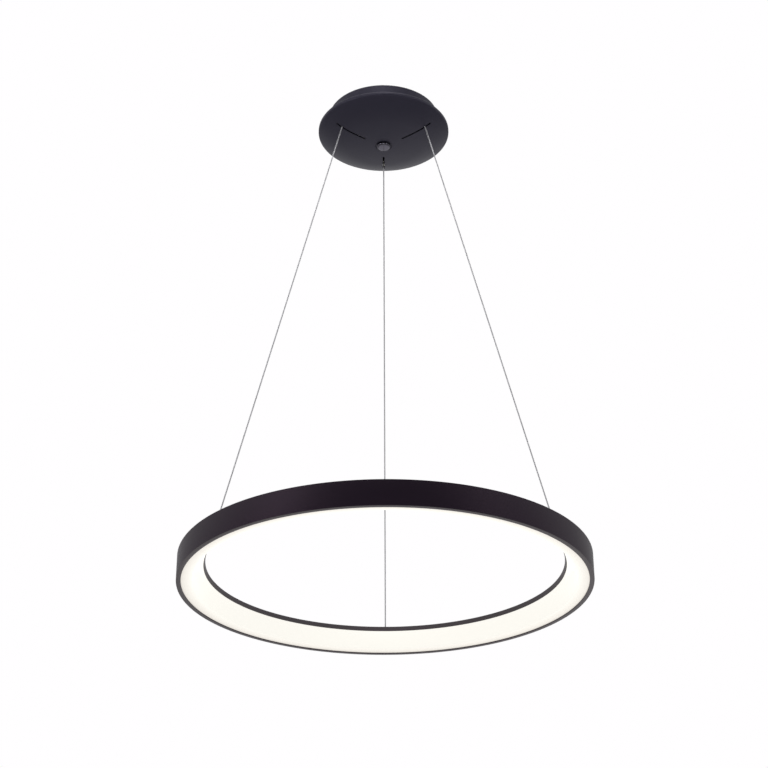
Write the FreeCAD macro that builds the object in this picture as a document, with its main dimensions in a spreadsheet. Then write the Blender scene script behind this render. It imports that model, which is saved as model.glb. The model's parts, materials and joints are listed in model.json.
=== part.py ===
import FreeCAD, Part
import math
import os
import Sketcher
from FreeCAD import Placement, Rotation, Vector

# LED ring pendant light: a level ring on three steel wires under a round ceiling canopy.
# The origin is the middle of the mounting plate's ceiling face, +Z points up into the
# ceiling, and the light hangs towards -Z. The viewer stands on the -Y side.

# Driving dimensions in millimetres. Each one goes into a sheet cell under its own name.
SIZES = {
    # Whole light
    "drop": 828.0,  # ceiling to the underside of the ring
    # Ring profile, a rolled aluminium extrusion
    "ring_radius": 300.0,
    "ring_height": 37.0,
    "ring_width": 40.8,  # outer wall to inner lip
    "ring_wall": 1.8,
    "lip_reach": 6.8,  # bottom lip, measured from the outer face
    "lip_thickness": 1.5,
    "tray_depth": 4.1,  # the outer wall stands this far above the web
    "web_thickness": 1.8,
    "inner_lip_height": 6.2,
    "inner_lip_lean": 2.5,  # how far the lip's foot is outside its top
    "inner_lip_wall": 1.8,
    # Opal diffuser that snaps in between the two lips
    "diffuser_wall": 2.0,
    "diffuser_gap": 0.2,
    "diffuser_recess": 1.2,
    "diffuser_corner_inset": 23.2,
    "diffuser_corner_rise": 2.9,
    "diffuser_corner_round": 3.0,
    "diffuser_snap": 1.9,
    # LED boards under the web
    "board_inset": 16.0,
    "board_width": 11.0,
    "board_thickness": 1.6,
    "chip_length": 3.5,
    "chip_width": 2.8,
    "chip_height": 0.8,
    "link_length": 28.0,
    "link_width": 5.0,
    "link_height": 1.2,
    # Splice plate across the seam of the rolled ring
    "splice_length": 64.0,
    "splice_width": 22.0,
    "splice_thickness": 1.6,
    "splice_screw_radius": 2.0,
    "splice_head_radius": 3.6,
    "splice_head_height": 1.6,
    # Wire anchors on the ring
    "anchor_inset": 28.0,
    "anchor_head_radius": 4.6,
    "anchor_head_height": 1.3,
    "anchor_shank_radius": 3.0,
    "anchor_shank_length": 7.4,
    "anchor_bore_radius": 1.4,
    "anchor_pocket_radius": 2.0,
    "ferrule_radius": 1.8,
    "ferrule_length": 4.6,
    "bush_wall": 0.9,
    "bush_flange_radius": 6.0,
    "bush_flange": 0.8,
    "anchor_washer_radius": 5.0,
    "nut_flats": 10.0,
    "nut_height": 2.6,
    # Suspension wires and leads
    "wire_radius": 1.0,
    "wire_bend": 14.0,
    "wire_tail_bend": 8.0,
    "wire_tail_gap": 2.7,
    "wire_tail_run": 20.0,
    "wire_tail_end": 16.0,
    "lead_radius": 0.9,
    "lead_reach": 7.0,
    "lead_end_gap": 0.3,
    # Mounting plate, a pressed steel pan
    "plate_radius": 90.0,
    "plate_thickness": 1.5,
    "pan_depth": 27.0,
    "pan_edge_round": 1.0,
    "screw_spacing": 100.0,
    "screw_slot_radius": 2.5,
    "screw_slot_length": 12.0,
    # Mains cable bush and earth screw
    "cable_x": 30.0,
    "cable_y": 34.0,
    "earth_x": 12.0,
    "cable_bush_radius": 7.0,
    "cable_bush_bore": 4.0,
    "cable_bush_flange": 9.5,
    "cable_bush_lip": 2.0,
    "earth_y": 15.0,
    "earth_screw_radius": 2.5,
    "earth_head_radius": 4.6,
    "earth_head_height": 2.6,
    # Grippers on their brackets
    "gripper_inset": 13.5,  # from the plate's edge
    "bracket_foot_reach": 28.5,  # these three from the gripper's axis
    "bracket_riser_reach": 13.5,
    "bracket_end_reach": 8.5,
    "bracket_width": 14.0,
    "bracket_sheet": 1.5,
    "bracket_standoff": 15.5,  # ceiling to the top of the raised pad
    "rivet_radius": 1.6,
    "rivet_head_radius": 3.0,
    "rivet_head_height": 1.0,
    "rivet_pitch": 7.0,
    "gripper_radius": 4.75,
    "gripper_length": 18.5,
    "gripper_round": 0.6,
    "spigot_radius": 3.0,
    "spigot_length": 7.3,
    "spigot_bore": 1.4,
    "chamber_radius": 3.7,
    "chamber_top": 2.0,
    "cone_top": 8.0,
    "cone_bottom": 13.0,
    "plunger_radius": 2.3,
    "plunger_bore": 1.4,
    "plunger_collar": 3.1,
    "plunger_collar_height": 1.0,
    "plunger_head": 7.2,
    "plunger_proud": 4.2,
    "plunger_tip_radius": 3.0,
    "plunger_tip_height": 1.4,
    "ball_radius": 0.85,
    "ball_seat": 10.5,
    "ball_play": 0.1,
    "spring_wall": 0.45,
    "slide_gap": 0.1,
    "lug_thickness": 0.8,
    "lug_radius": 5.0,
    "lug_reach": 11.0,
    "lug_width": 4.0,
    # Driver and terminal block
    "driver_length": 68.0,
    "driver_width": 36.0,
    "driver_height": 28.0,
    "driver_round": 2.0,
    "driver_inset": 34.0,  # from the plate's edge to the driver's middle
    "driver_ear": 9.0,
    "driver_ear_width": 14.0,
    "driver_ear_thickness": 3.0,
    "driver_screw_radius": 1.6,
    "driver_head_radius": 3.0,
    "driver_head_height": 2.0,
    "block_x": -34.0,
    "block_y": 40.0,
    "block_length": 30.0,
    "block_width": 18.0,
    "block_height": 15.0,
    "pole_pitch": 9.0,
    "pole_radius": 2.6,
    "pole_depth": 5.0,
    "pole_offset": 4.5,
    # Centre pillar and the thumb screw that holds the cover
    "pillar_flats": 12.0,
    "pillar_bottom": 52.3,
    "thread_radius": 3.0,
    "thread_gap": 0.08,
    "thread_depth": 46.0,
    "thumb_radius": 11.0,
    "thumb_bottom": 59.7,
    "thumb_round": 2.8,
    "thumb_neck_radius": 10.3,
    "thumb_neck": 0.5,
    "shank_length": 46.0,
    "retainer_radius": 6.5,
    "retainer_thickness": 1.0,
    # Canopy cover, a spun steel dish
    "cover_overhang": 17.2,  # past the plate's wall
    "cover_sheet": 1.2,
    "cover_play": 1.1,
    "cover_flange_drop": 24.8,
    "cover_rim_top": 26.0,
    "cover_rim_bottom": 32.4,
    "cover_rim_round": 2.4,
    "dome_break_radius": 60.0,
    "dome_break_drop": 50.6,
    "dome_bottom_drop": 55.8,
    "seat_radius": 13.0,
    "seat_drop": 54.6,
    "slot_inner": 34.0,
    "slot_reach": 12.0,  # past the gripper's axis
    "slot_width": 3.0,
    # One overrun for every cut
    "overrun": 1.0,
}

WIRE_ANGLES = (90, 210, 330)
FULL_TURN = 360
SEAM_ANGLE = 30  # degrees round the ring from +X
SEAM_GAP = 0.05  # degrees
BOARD_SWEEP = 116  # degrees that one LED board covers
BOARD_CHIP_COUNT = 30
HEXAGON_SIDES = 6

doc = FreeCAD.newDocument("ring_pendant")
sheet = doc.addObject("Spreadsheet::Sheet", "dims")
for row, (alias, number) in enumerate(SIZES.items(), start=1):
    sheet.set(f"A{row}", alias)
    sheet.set(f"B{row}", str(number))
    sheet.setAlias(f"B{row}", alias)
doc.recompute()

pieces = []


class Size:
    """A length that knows its value and the sheet expression that gives it."""

    def __init__(self, value, text):
        self.value = value
        self.text = text

    def join(self, sign, other, value):
        other_text = other.text if isinstance(other, Size) else repr(other)
        return Size(value, f"({self.text} {sign} {other_text})")

    def __add__(self, other):
        return self.join("+", other, self.value + plain(other))

    def __sub__(self, other):
        return self.join("-", other, self.value - plain(other))

    def __mul__(self, other):
        return self.join("*", other, self.value * plain(other))

    def __truediv__(self, other):
        return self.join("/", other, self.value / plain(other))

    def __neg__(self):
        return Size(-self.value, f"(-{self.text})")


def plain(length):
    """The bare number of a length, for Part's own functions."""
    return length.value if isinstance(length, Size) else float(length)


def root(length):
    """The square root of a squared length."""
    return Size(math.sqrt(length.value), f"sqrt({length.text})")


class Dims:
    """Every driving dimension as an attribute."""


d = Dims()
for alias, number in SIZES.items():
    setattr(d, alias, Size(number, f"dims.{alias}"))
ZERO = Size(0.0, "0")


def bind(thing, path, length):
    """Sets a property from the sheet."""
    thing.setExpression(path, length.text)


def keep(thing, label):
    """Names a sub-part and puts it on the list of pieces."""
    thing.Label = label
    pieces.append(thing)
    return thing


def seat(thing, x=ZERO, y=ZERO, z=ZERO, turn=0.0):
    """Places a sub-part, turned about +Z, with its position bound to the sheet."""
    thing.Placement = Placement(
        Vector(plain(x), plain(y), plain(z)), Rotation(Vector(0, 0, 1), turn)
    )
    for path, length in (("x", x), ("y", y), ("z", z)):
        bind(thing, f".Placement.Base.{path}", length)
    return thing


def on_circle(radius, angle):
    """The x and y of a place on a circle, as lengths."""
    radians = math.radians(angle)
    return radius * round(math.cos(radians), 9), radius * round(math.sin(radians), 9)


def new_body(label):
    return keep(doc.addObject("PartDesign::Body", label), label)


def new_sketch(body, name, role):
    sketch = body.newObject("Sketcher::SketchObject", f"{body.Name}_{name}")
    plane = [item for item in body.Origin.OriginFeatures if item.Role == role][0]
    sketch.AttachmentSupport = [(plane, "")]
    sketch.MapMode = "FlatFace"
    return sketch


def pin(sketch, shape, point, x, y):
    """Holds one point of a sketch shape at x, y from the sketch's origin."""
    for kind, length in (("DistanceX", x), ("DistanceY", y)):
        number = sketch.addConstraint(
            Sketcher.Constraint(kind, -1, 1, shape, point, plain(length))
        )
        bind(sketch, f"Constraints[{number}]", length)


def fix_radius(sketch, shape, radius):
    number = sketch.addConstraint(Sketcher.Constraint("Radius", shape, plain(radius)))
    bind(sketch, f"Constraints[{number}]", radius)


def arc_between(start, end, radius, left):
    """The short arc from start to end, with its centre on the left or right of the chord."""
    chord = end - start
    side = Vector(-chord.y, chord.x, 0).normalize() * (1 if left else -1)
    rise = math.sqrt(max(radius * radius - chord.Length**2 / 4, 0))
    centre = start + chord * 0.5 + side * rise
    first, last = (start, end) if left else (end, start)
    angles = [math.atan2(p.y - centre.y, p.x - centre.x) for p in (first, last)]
    if angles[1] < angles[0]:
        angles[1] += 2 * math.pi
    return Part.ArcOfCircle(Part.Circle(centre, Vector(0, 0, 1), radius), *angles)


def outline(sketch, corners):
    """A closed outline. A corner is (x, y), or (x, y, radius, left) before an arc."""
    spots = [Vector(plain(c[0]), plain(c[1]), 0) for c in corners]
    ends = []
    for i, corner in enumerate(corners):
        here, there = spots[i], spots[(i + 1) % len(corners)]
        if len(corner) == 2:
            sketch.addGeometry(Part.LineSegment(here, there), False)
            ends.append((1, 2))
        else:
            arc = arc_between(here, there, plain(corner[2]), corner[3])
            sketch.addGeometry(arc, False)
            ends.append((1, 2) if corner[3] else (2, 1))
    for i, corner in enumerate(corners):
        following = (i + 1) % len(corners)
        sketch.addConstraint(
            Sketcher.Constraint("Coincident", i, ends[i][1], following, ends[following][0])
        )
        pin(sketch, i, ends[i][0], corner[0], corner[1])
        if len(corner) > 2:
            fix_radius(sketch, i, corner[2])


def revolve(body, corners, sweep=FULL_TURN):
    """Turns an outline in the XZ plane about the body's own Z axis."""
    sketch = new_sketch(body, "profile", "XZ_Plane")
    outline(sketch, corners)
    turned = body.newObject("PartDesign::Revolution", f"{body.Name}_turned")
    turned.Profile = sketch
    turned.ReferenceAxis = (sketch, ["V_Axis"])
    turned.Angle = sweep
    doc.recompute()
    return body


def pad(body, sketch, length, midplane=False):
    feature = body.newObject("PartDesign::Pad", f"{sketch.Name}_pad")
    feature.Profile = sketch
    feature.Midplane = midplane
    bind(feature, "Length", length)
    doc.recompute()
    return feature


def pocket(body, sketch):
    """Cuts a sketch right through the body, both ways."""
    feature = body.newObject("PartDesign::Pocket", f"{sketch.Name}_cut")
    feature.Profile = sketch
    feature.Type = "ThroughAll"
    feature.Midplane = True
    before = body.Shape.Volume
    doc.recompute()
    if body.Shape.Volume >= before:
        raise RuntimeError(f"{sketch.Name} cuts nothing")
    return feature


def circles(body, name, spots):
    """A sketch of circles on the XY plane. A spot is (x, y, radius)."""
    sketch = new_sketch(body, name, "XY_Plane")
    for number, (x, y, radius) in enumerate(spots):
        centre = Vector(plain(x), plain(y), 0)
        sketch.addGeometry(Part.Circle(centre, Vector(0, 0, 1), plain(radius)), False)
        pin(sketch, number, 3, x, y)
        fix_radius(sketch, number, radius)
    return sketch


def long_slot(sketch, start_x, end_x, y, radius):
    """A slot along X with round ends, centred on its two end places."""
    first = sketch.GeometryCount
    low, high = plain(start_x), plain(end_x)
    level, round_end = plain(y), plain(radius)
    quarter = math.pi / 2
    for x, begin in ((low, quarter), (high, -quarter)):
        circle = Part.Circle(Vector(x, level, 0), Vector(0, 0, 1), round_end)
        sketch.addGeometry(Part.ArcOfCircle(circle, begin, begin + math.pi), False)
    for side in (-round_end, round_end):
        sketch.addGeometry(
            Part.LineSegment(Vector(low, level + side, 0), Vector(high, level + side, 0)),
            False,
        )
    for arc, point, line, end in ((0, 2, 2, 1), (1, 1, 2, 2), (0, 1, 3, 1), (1, 2, 3, 2)):
        sketch.addConstraint(
            Sketcher.Constraint("Tangent", first + arc, point, first + line, end)
        )
    pin(sketch, first, 3, start_x, y)
    pin(sketch, first + 1, 3, end_x, y)
    fix_radius(sketch, first, radius)


def fillet(body, radius, wanted):
    """Rounds the edges that the test picks."""
    base = body.Tip
    names = [f"Edge{i}" for i, edge in enumerate(base.Shape.Edges, start=1) if wanted(edge)]
    feature = body.newObject("PartDesign::Fillet", f"{body.Name}_round{len(body.Group)}")
    feature.Base = (base, names)
    bind(feature, "Radius", radius)
    body.Tip = feature
    doc.recompute()
    return feature


def ring_edge(radius, level):
    """A test for the circular edge of that radius at that height."""

    def wanted(edge):
        curve = edge.Curve
        if not isinstance(curve, Part.Circle):
            return False
        near = math.isclose(curve.Radius, plain(radius), abs_tol=1e-4)
        return near and math.isclose(curve.Center.z, plain(level), abs_tol=1e-4)

    return wanted


def upright_edge(edge):
    """A test for straight edges along Z."""
    if not isinstance(edge.Curve, Part.Line):
        return False
    return abs(edge.tangentAt(edge.FirstParameter).z) > 0.99


def solid_piece(label, shape):
    """A sub-part whose shape is worked out in code from the sheet's sizes."""
    thing = keep(doc.addObject("Part::Feature", label), label)
    thing.Shape = shape
    return thing


def copies(label, seed, places):
    """One node of separate, identical solids: the seed's shape at each place."""
    solids = []
    for place in places:
        solid = seed.Shape.copy()
        solid.Placement = place.multiply(seed.Shape.Placement)
        solids.append(solid)
    return solid_piece(label, Part.makeCompound(solids))


def pattern(label):
    """A body that is only copied: it isn't a sub-part itself."""
    return doc.addObject("PartDesign::Body", f"{label}_seed")


def spot(x, y, z, turn=0.0):
    return Placement(Vector(plain(x), plain(y), plain(z)), Rotation(Vector(0, 0, 1), turn))


def hex_ring(name, flats, height, bore):
    """A hexagon nut with its top face at its own origin, hanging down."""
    prism = doc.addObject("Part::Prism", f"{name}_hex")
    prism.Polygon = HEXAGON_SIDES
    bind(prism, "Circumradius", flats / round(math.sqrt(3), 9))
    bind(prism, "Height", height)
    seat(prism, z=-height)
    hole = doc.addObject("Part::Cylinder", f"{name}_bore")
    bind(hole, "Radius", bore)
    bind(hole, "Height", height + d.overrun + d.overrun)
    seat(hole, z=-height - d.overrun)
    nut = doc.addObject("Part::Cut", f"{name}_nut")
    nut.Base, nut.Tool = prism, hole
    doc.recompute()
    return nut


def tube_along(points, radius, bends, label):
    """A round tube along straight runs joined by tangent arcs, one bend radius per corner."""
    edges = []
    last = points[0]
    expected = 0.0
    for here, before, after, bend in zip(points[1:-1], points[:-2], points[2:], bends):
        into, out = (here - before).normalize(), (after - here).normalize()
        half = into.getAngle(out) / 2
        reach = bend * math.tan(half)
        start, end = here - into * reach, here + out * reach
        inward = (out - into).normalize()
        middle = here + inward * (bend / math.cos(half) - bend)
        edges.append(Part.LineSegment(last, start).toShape())
        edges.append(Part.Arc(start, middle, end).toShape())
        expected += last.distanceToPoint(start) + bend * half * 2
        last = end
    edges.append(Part.LineSegment(last, points[-1]).toShape())
    expected += last.distanceToPoint(points[-1])
    along = (points[1] - points[0]).normalize()
    rim = Part.Wire([Part.makeCircle(radius, points[0], along)])
    sweep = Part.BRepOffsetAPI.MakePipeShell(Part.Wire(edges))
    sweep.add(rim)
    sweep.build()
    sweep.makeSolid()
    tube = sweep.shape()
    share = tube.Volume / (math.pi * radius * radius * expected)
    radii = ", ".join(f"{bend:.1f}" for bend in bends)
    print(f"{label}: length {expected:.1f} mm, bend radii {radii}, volume share {share:.4f}")
    return tube


def easy_bends(points):
    """The largest bend at each corner that both of its runs have room for."""
    bends = []
    for here, before, after in zip(points[1:-1], points[:-2], points[2:]):
        into, out = here - before, after - here
        half = into.getAngle(out) / 2
        bends.append(EASY_BEND_SHARE * min(into.Length, out.Length) / math.tan(half))
    return bends


EASY_BEND_SHARE = 0.45

# Heights in the canopy, all measured down from the ceiling face.
plate_under = -d.plate_thickness
plate_inner = d.plate_radius - d.plate_thickness
gripper_circle = d.plate_radius - d.gripper_inset
bracket_foot = gripper_circle - d.bracket_foot_reach
bracket_riser = gripper_circle - d.bracket_riser_reach
bracket_end = gripper_circle + d.bracket_end_reach
driver_y = d.driver_inset - d.plate_radius
cover_radius = d.plate_radius + d.cover_overhang
pad_top = -d.bracket_standoff
pad_under = pad_top - d.bracket_sheet
gripper_top = pad_under - d.bush_flange
washer_top = pad_top + d.bush_flange
mouth = gripper_top - d.gripper_length - d.plunger_proud
pillar_end = -d.pillar_bottom

# Heights in the ring, measured up from its underside.
ring_base = -d.drop
web_top = d.ring_height - d.tray_depth
web_under = web_top - d.web_thickness
inner_radius = d.ring_radius - d.ring_width
lip_foot = inner_radius + d.inner_lip_lean
anchor_circle = d.ring_radius - d.anchor_inset
anchor_top = web_top + d.bush_flange + d.anchor_head_height


def mounting_plate():
    """A pressed pan: a flat disc against the ceiling with a wall that the cover goes round."""
    body = revolve(
        new_body("mounting_plate"),
        [
            (ZERO, ZERO),
            (d.plate_radius, ZERO),
            (d.plate_radius, -d.pan_depth),
            (plate_inner, -d.pan_depth),
            (plate_inner, plate_under),
            (ZERO, plate_under),
        ],
    )
    fillet(body, d.pan_edge_round, ring_edge(d.plate_radius, ZERO))
    spots = [(d.cable_x, d.cable_y, d.cable_bush_radius)]
    spots.append((d.earth_x, d.earth_y, d.earth_screw_radius))
    for side in (-1, 1):
        spots.append((driver_screw_x * side, driver_y, d.driver_screw_radius))
    for angle in WIRE_ANGLES:
        for radius in rivet_circles:
            x, y = on_circle(radius, angle)
            spots.append((x, y, d.rivet_radius))
    pocket(body, circles(body, "holes", spots))
    slots = new_sketch(body, "slots", "XY_Plane")
    half = (d.screw_slot_length - d.screw_slot_radius * 2) / 2
    for side in (-1, 1):
        middle = d.screw_spacing * side / 2
        long_slot(slots, middle - half, middle + half, ZERO, d.screw_slot_radius)
    pocket(body, slots)


def cable_bush():
    """The rubber bush that lines the mains cable's hole, flush with the ceiling face."""
    lip = plate_under - d.cable_bush_lip
    bush = revolve(
        new_body("cable_bush"),
        [
            (d.cable_bush_bore, ZERO),
            (d.cable_bush_radius, ZERO),
            (d.cable_bush_radius, plate_under),
            (d.cable_bush_flange, plate_under),
            (d.cable_bush_flange, lip),
            (d.cable_bush_bore, lip),
        ],
    )
    seat(bush, d.cable_x, d.cable_y)


def headed(body, shank_radius, shank_length, head_radius, head_height, round_head):
    """A fastener: its head hangs below its own origin and its shank goes up."""
    revolve(
        body,
        [
            (ZERO, shank_length),
            (shank_radius, shank_length),
            (shank_radius, ZERO),
            (head_radius, ZERO),
            (head_radius, -head_height),
            (ZERO, -head_height),
        ],
    )
    if round_head:
        fillet(body, head_height / 2, ring_edge(head_radius, -head_height))
    return body


def gripper_brackets():
    """Z-shaped brackets: a foot riveted to the plate and a raised pad that a gripper hangs from."""
    sheet_under = plate_under - d.bracket_sheet
    for number, angle in enumerate(WIRE_ANGLES, start=1):
        body = new_body(f"gripper_bracket_{number}")
        side = new_sketch(body, "side", "XZ_Plane")
        outline(
            side,
            [
                (bracket_foot, plate_under),
                (bracket_riser + d.bracket_sheet, plate_under),
                (bracket_riser + d.bracket_sheet, pad_top),
                (bracket_end, pad_top),
                (bracket_end, pad_under),
                (bracket_riser, pad_under),
                (bracket_riser, sheet_under),
                (bracket_foot, sheet_under),
            ],
        )
        pad(body, side, d.bracket_width, midplane=True)
        spots = [(gripper_circle, ZERO, d.spigot_radius + d.bush_wall)]
        spots += [(radius, ZERO, d.rivet_radius) for radius in rivet_circles]
        pocket(body, circles(body, "holes", spots))
        seat(body, turn=angle)
    seed = headed(
        pattern("rivet"),
        d.rivet_radius,
        d.bracket_sheet + d.plate_thickness,
        d.rivet_head_radius,
        d.rivet_head_height,
        True,
    )
    places = []
    for angle in WIRE_ANGLES:
        for radius in rivet_circles:
            places.append(spot(*on_circle(radius, angle), sheet_under))
    copies("bracket_rivets", seed, places)


def gripper(number, angle):
    """A self-locking wire gripper: a turned barrel whose cone wedges three balls on the wire."""
    x, y = on_circle(gripper_circle, angle)
    bore = d.plunger_radius + d.slide_gap
    barrel = revolve(
        new_body(f"gripper_body_{number}"),
        [
            (d.spigot_bore, d.spigot_length),
            (d.spigot_radius, d.spigot_length),
            (d.spigot_radius, ZERO),
            (d.gripper_radius, ZERO),
            (d.gripper_radius, -d.gripper_length),
            (bore, -d.gripper_length),
            (bore, -d.cone_bottom),
            (d.chamber_radius, -d.cone_top),
            (d.chamber_radius, -d.chamber_top),
            (d.spigot_bore, -d.chamber_top),
        ],
    )
    fillet(barrel, d.gripper_round, ring_edge(d.gripper_radius, -d.gripper_length))
    seat(barrel, x, y, gripper_top, angle)

    tip = -d.gripper_length - d.plunger_proud
    plunger = revolve(
        new_body(f"release_plunger_{number}"),
        [
            (d.plunger_bore, -d.plunger_head),
            (d.plunger_collar, -d.plunger_head),
            (d.plunger_collar, -d.plunger_head - d.plunger_collar_height),
            (d.plunger_radius, -d.plunger_head - d.plunger_collar_height),
            (d.plunger_radius, tip + d.plunger_tip_height),
            (d.plunger_tip_radius, tip + d.plunger_tip_height),
            (d.plunger_tip_radius, tip),
            (d.plunger_bore, tip),
        ],
    )
    windows = new_sketch(plunger, "window", "YZ_Plane")
    hole = d.ball_radius + d.slide_gap
    windows.addGeometry(
        Part.Circle(Vector(0, -plain(d.ball_seat), 0), Vector(0, 0, 1), plain(hole)), False
    )
    pin(windows, 0, 3, ZERO, -d.ball_seat)
    fix_radius(windows, 0, hole)
    window = plunger.newObject("PartDesign::Pocket", f"{plunger.Name}_window_cut")
    window.Profile = windows
    window.Type = "Length"
    bind(window, "Length", d.plunger_radius + d.overrun)
    doc.recompute()
    if window.Shape.Volume >= window.BaseFeature.Shape.Volume:
        raise RuntimeError("the ball window cuts nothing")
    turned = plunger.newObject("PartDesign::PolarPattern", f"{plunger.Name}_windows")
    turned.Originals = [window]
    turned.Axis = (windows, ["V_Axis"])
    turned.Angle = FULL_TURN
    turned.Occurrences = len(WIRE_ANGLES)
    plunger.Tip = turned
    doc.recompute()
    seat(plunger, x, y, gripper_top, angle)

    ball = doc.addObject("Part::Sphere", f"gripper_ball_{number}")
    bind(ball, "Radius", d.ball_radius)
    reach = d.wire_radius + d.ball_play + d.ball_radius
    doc.recompute()
    places = []
    for turn in WIRE_ANGLES:
        window_angle = angle + turn + BALL_TURN
        dx, dy = on_circle(reach, window_angle)
        places.append(spot(x + dx, y + dy, gripper_top - d.ball_seat))
    copies(f"gripper_balls_{number}", ball, places)

    spring_radius = d.plunger_collar
    spring = revolve(
        new_body(f"gripper_spring_{number}"),
        [
            (spring_radius - d.spring_wall, -d.chamber_top),
            (spring_radius, -d.chamber_top),
            (spring_radius, -d.plunger_head),
            (spring_radius - d.spring_wall, -d.plunger_head),
        ],
    )
    seat(spring, x, y, gripper_top, angle)


BALL_TURN = 90  # turns the balls to the plunger's windows


def gripper_fittings():
    """What hangs each gripper on its pad: bush, washer, lug and nut."""
    bore = d.spigot_radius
    sleeve = d.spigot_radius + d.bush_wall
    bush = revolve(
        pattern("gripper_bush"),
        [
            (bore, d.bracket_sheet),
            (sleeve, d.bracket_sheet),
            (sleeve, ZERO),
            (d.bush_flange_radius, ZERO),
            (d.bush_flange_radius, -d.bush_flange),
            (bore, -d.bush_flange),
        ],
    )
    washer = revolve(
        pattern("gripper_washer"),
        [
            (bore, d.bush_flange),
            (d.bush_flange_radius, d.bush_flange),
            (d.bush_flange_radius, ZERO),
            (bore, ZERO),
        ],
    )
    at_grippers = [on_circle(gripper_circle, angle) for angle in WIRE_ANGLES]
    copies("gripper_bushes", bush, [spot(x, y, pad_under) for x, y in at_grippers])
    copies("gripper_washers", washer, [spot(x, y, pad_top) for x, y in at_grippers])
    nut = hex_ring("gripper", d.nut_flats, d.nut_height, d.spigot_radius)
    places = []
    for number, (x, y) in enumerate(at_grippers):
        under = washer_top if number == 0 else washer_top + d.lug_thickness
        places.append(spot(x, y, under + d.nut_height, WIRE_ANGLES[number]))
    copies("gripper_nuts", nut, places)


def lug(name, bore):
    """A flat ring lug whose tab points along its own +Y."""
    ring = doc.addObject("Part::Cylinder", f"{name}_ring")
    bind(ring, "Radius", d.lug_radius)
    bind(ring, "Height", d.lug_thickness)
    tab = doc.addObject("Part::Box", f"{name}_tab")
    bind(tab, "Length", d.lug_width)
    bind(tab, "Width", d.lug_reach)
    bind(tab, "Height", d.lug_thickness)
    seat(tab, x=-d.lug_width / 2)
    joined = doc.addObject("Part::Fuse", f"{name}_joined")
    joined.Base, joined.Tool = ring, tab
    hole = doc.addObject("Part::Cylinder", f"{name}_hole")
    bind(hole, "Radius", bore)
    bind(hole, "Height", d.lug_thickness + d.overrun + d.overrun)
    seat(hole, z=-d.overrun)
    cut = doc.addObject("Part::Cut", f"{name}_lug")
    cut.Base, cut.Tool = joined, hole
    doc.recompute()
    return cut


# The two live grippers have their lugs on the driver's side.
LIVE_WIRES = ((210, 210), (330, 150))  # wire angle, turn of the lug's tab about +Z


EARTH_TURN = 90  # turns the earth lug's tab towards the terminal block


def lead_lugs():
    seed = lug("gripper_lug", d.spigot_radius)
    places = []
    for angle, turn in LIVE_WIRES:
        places.append(spot(*on_circle(gripper_circle, angle), washer_top, turn))
    places.append(spot(d.earth_x, d.earth_y, plate_under - d.lug_thickness, EARTH_TURN))
    copies("lead_lugs", seed, places)


def earth_screw():
    screw = headed(
        new_body("earth_screw"),
        d.earth_screw_radius,
        d.plate_thickness + d.lug_thickness,
        d.earth_head_radius,
        d.earth_head_height,
        True,
    )
    seat(screw, d.earth_x, d.earth_y, plate_under - d.lug_thickness)


driver_screw_x = d.driver_length / 2 + d.driver_ear / 2
rivet_circles = [
    (bracket_foot + bracket_riser - d.rivet_pitch) / 2,
    (bracket_foot + bracket_riser + d.rivet_pitch) / 2,
]


def rectangle(sketch, low_x, high_x, low_y, high_y):
    outline(sketch, [(low_x, low_y), (high_x, low_y), (high_x, high_y), (low_x, high_y)])


def led_driver():
    """The constant-voltage driver: a closed moulded case with a screw ear at each end."""
    body = new_body("led_driver")
    case = new_sketch(body, "case", "XY_Plane")
    half_length, half_width = d.driver_length / 2, d.driver_width / 2
    rectangle(case, -half_length, half_length, -half_width, half_width)
    pad(body, case, d.driver_height)
    fillet(body, d.driver_round, upright_edge)
    ears = new_sketch(body, "ears", "XY_Plane")
    half_ears, half_ear = half_length + d.driver_ear, d.driver_ear_width / 2
    rectangle(ears, -half_ears, half_ears, -half_ear, half_ear)
    pad(body, ears, d.driver_ear_thickness)
    spots = [(driver_screw_x * side, ZERO, d.driver_screw_radius) for side in (-1, 1)]
    pocket(body, circles(body, "screw_holes", spots))
    seat(body, y=driver_y, z=plate_under - d.driver_height)
    # The ears lie on the plate, so the case is turned over about its long axis.
    body.Placement = Placement(
        Vector(0, plain(driver_y), plain(plate_under)), Rotation(Vector(1, 0, 0), 180)
    )
    bind(body, ".Placement.Base.z", plate_under)
    screw = headed(
        pattern("driver_screw"),
        d.driver_screw_radius,
        d.driver_ear_thickness + d.plate_thickness,
        d.driver_head_radius,
        d.driver_head_height,
        True,
    )
    under = plate_under - d.driver_ear_thickness
    copies(
        "driver_screws",
        screw,
        [spot(driver_screw_x * side, driver_y, under) for side in (-1, 1)],
    )


def terminal_block():
    """The three-pole mains terminal block with a screw well over each wire hole."""
    body = new_body("terminal_block")
    case = new_sketch(body, "case", "XY_Plane")
    half_length, half_width = d.block_length / 2, d.block_width / 2
    rectangle(case, -half_length, half_length, -half_width, half_width)
    pad(body, case, d.block_height)
    wells = []
    for pole in (-1, 0, 1):
        for side in (-1, 1):
            wells.append((d.pole_pitch * pole, d.pole_offset * side, d.pole_radius))
    sketch = circles(body, "wells", wells)
    cut = body.newObject("PartDesign::Pocket", f"{body.Name}_well_cut")
    cut.Profile = sketch
    cut.Type = "Length"
    cut.Reversed = True
    bind(cut, "Length", d.pole_depth)
    before = cut.BaseFeature.Shape.Volume
    doc.recompute()
    if cut.Shape.Volume >= before:
        raise RuntimeError("the screw wells cut nothing")
    under = plate_under - d.block_height
    seat(body, d.block_x, d.block_y, under)
    screw = doc.addObject("Part::Cylinder", "terminal_screw_seed")
    bind(screw, "Radius", d.pole_radius - d.slide_gap)
    bind(screw, "Height", d.pole_depth / 2)
    doc.recompute()
    level = under + d.pole_depth / 2
    copies(
        "terminal_screws",
        screw,
        [spot(d.block_x + x, d.block_y + y, level) for x, y, _ in wells],
    )


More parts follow.
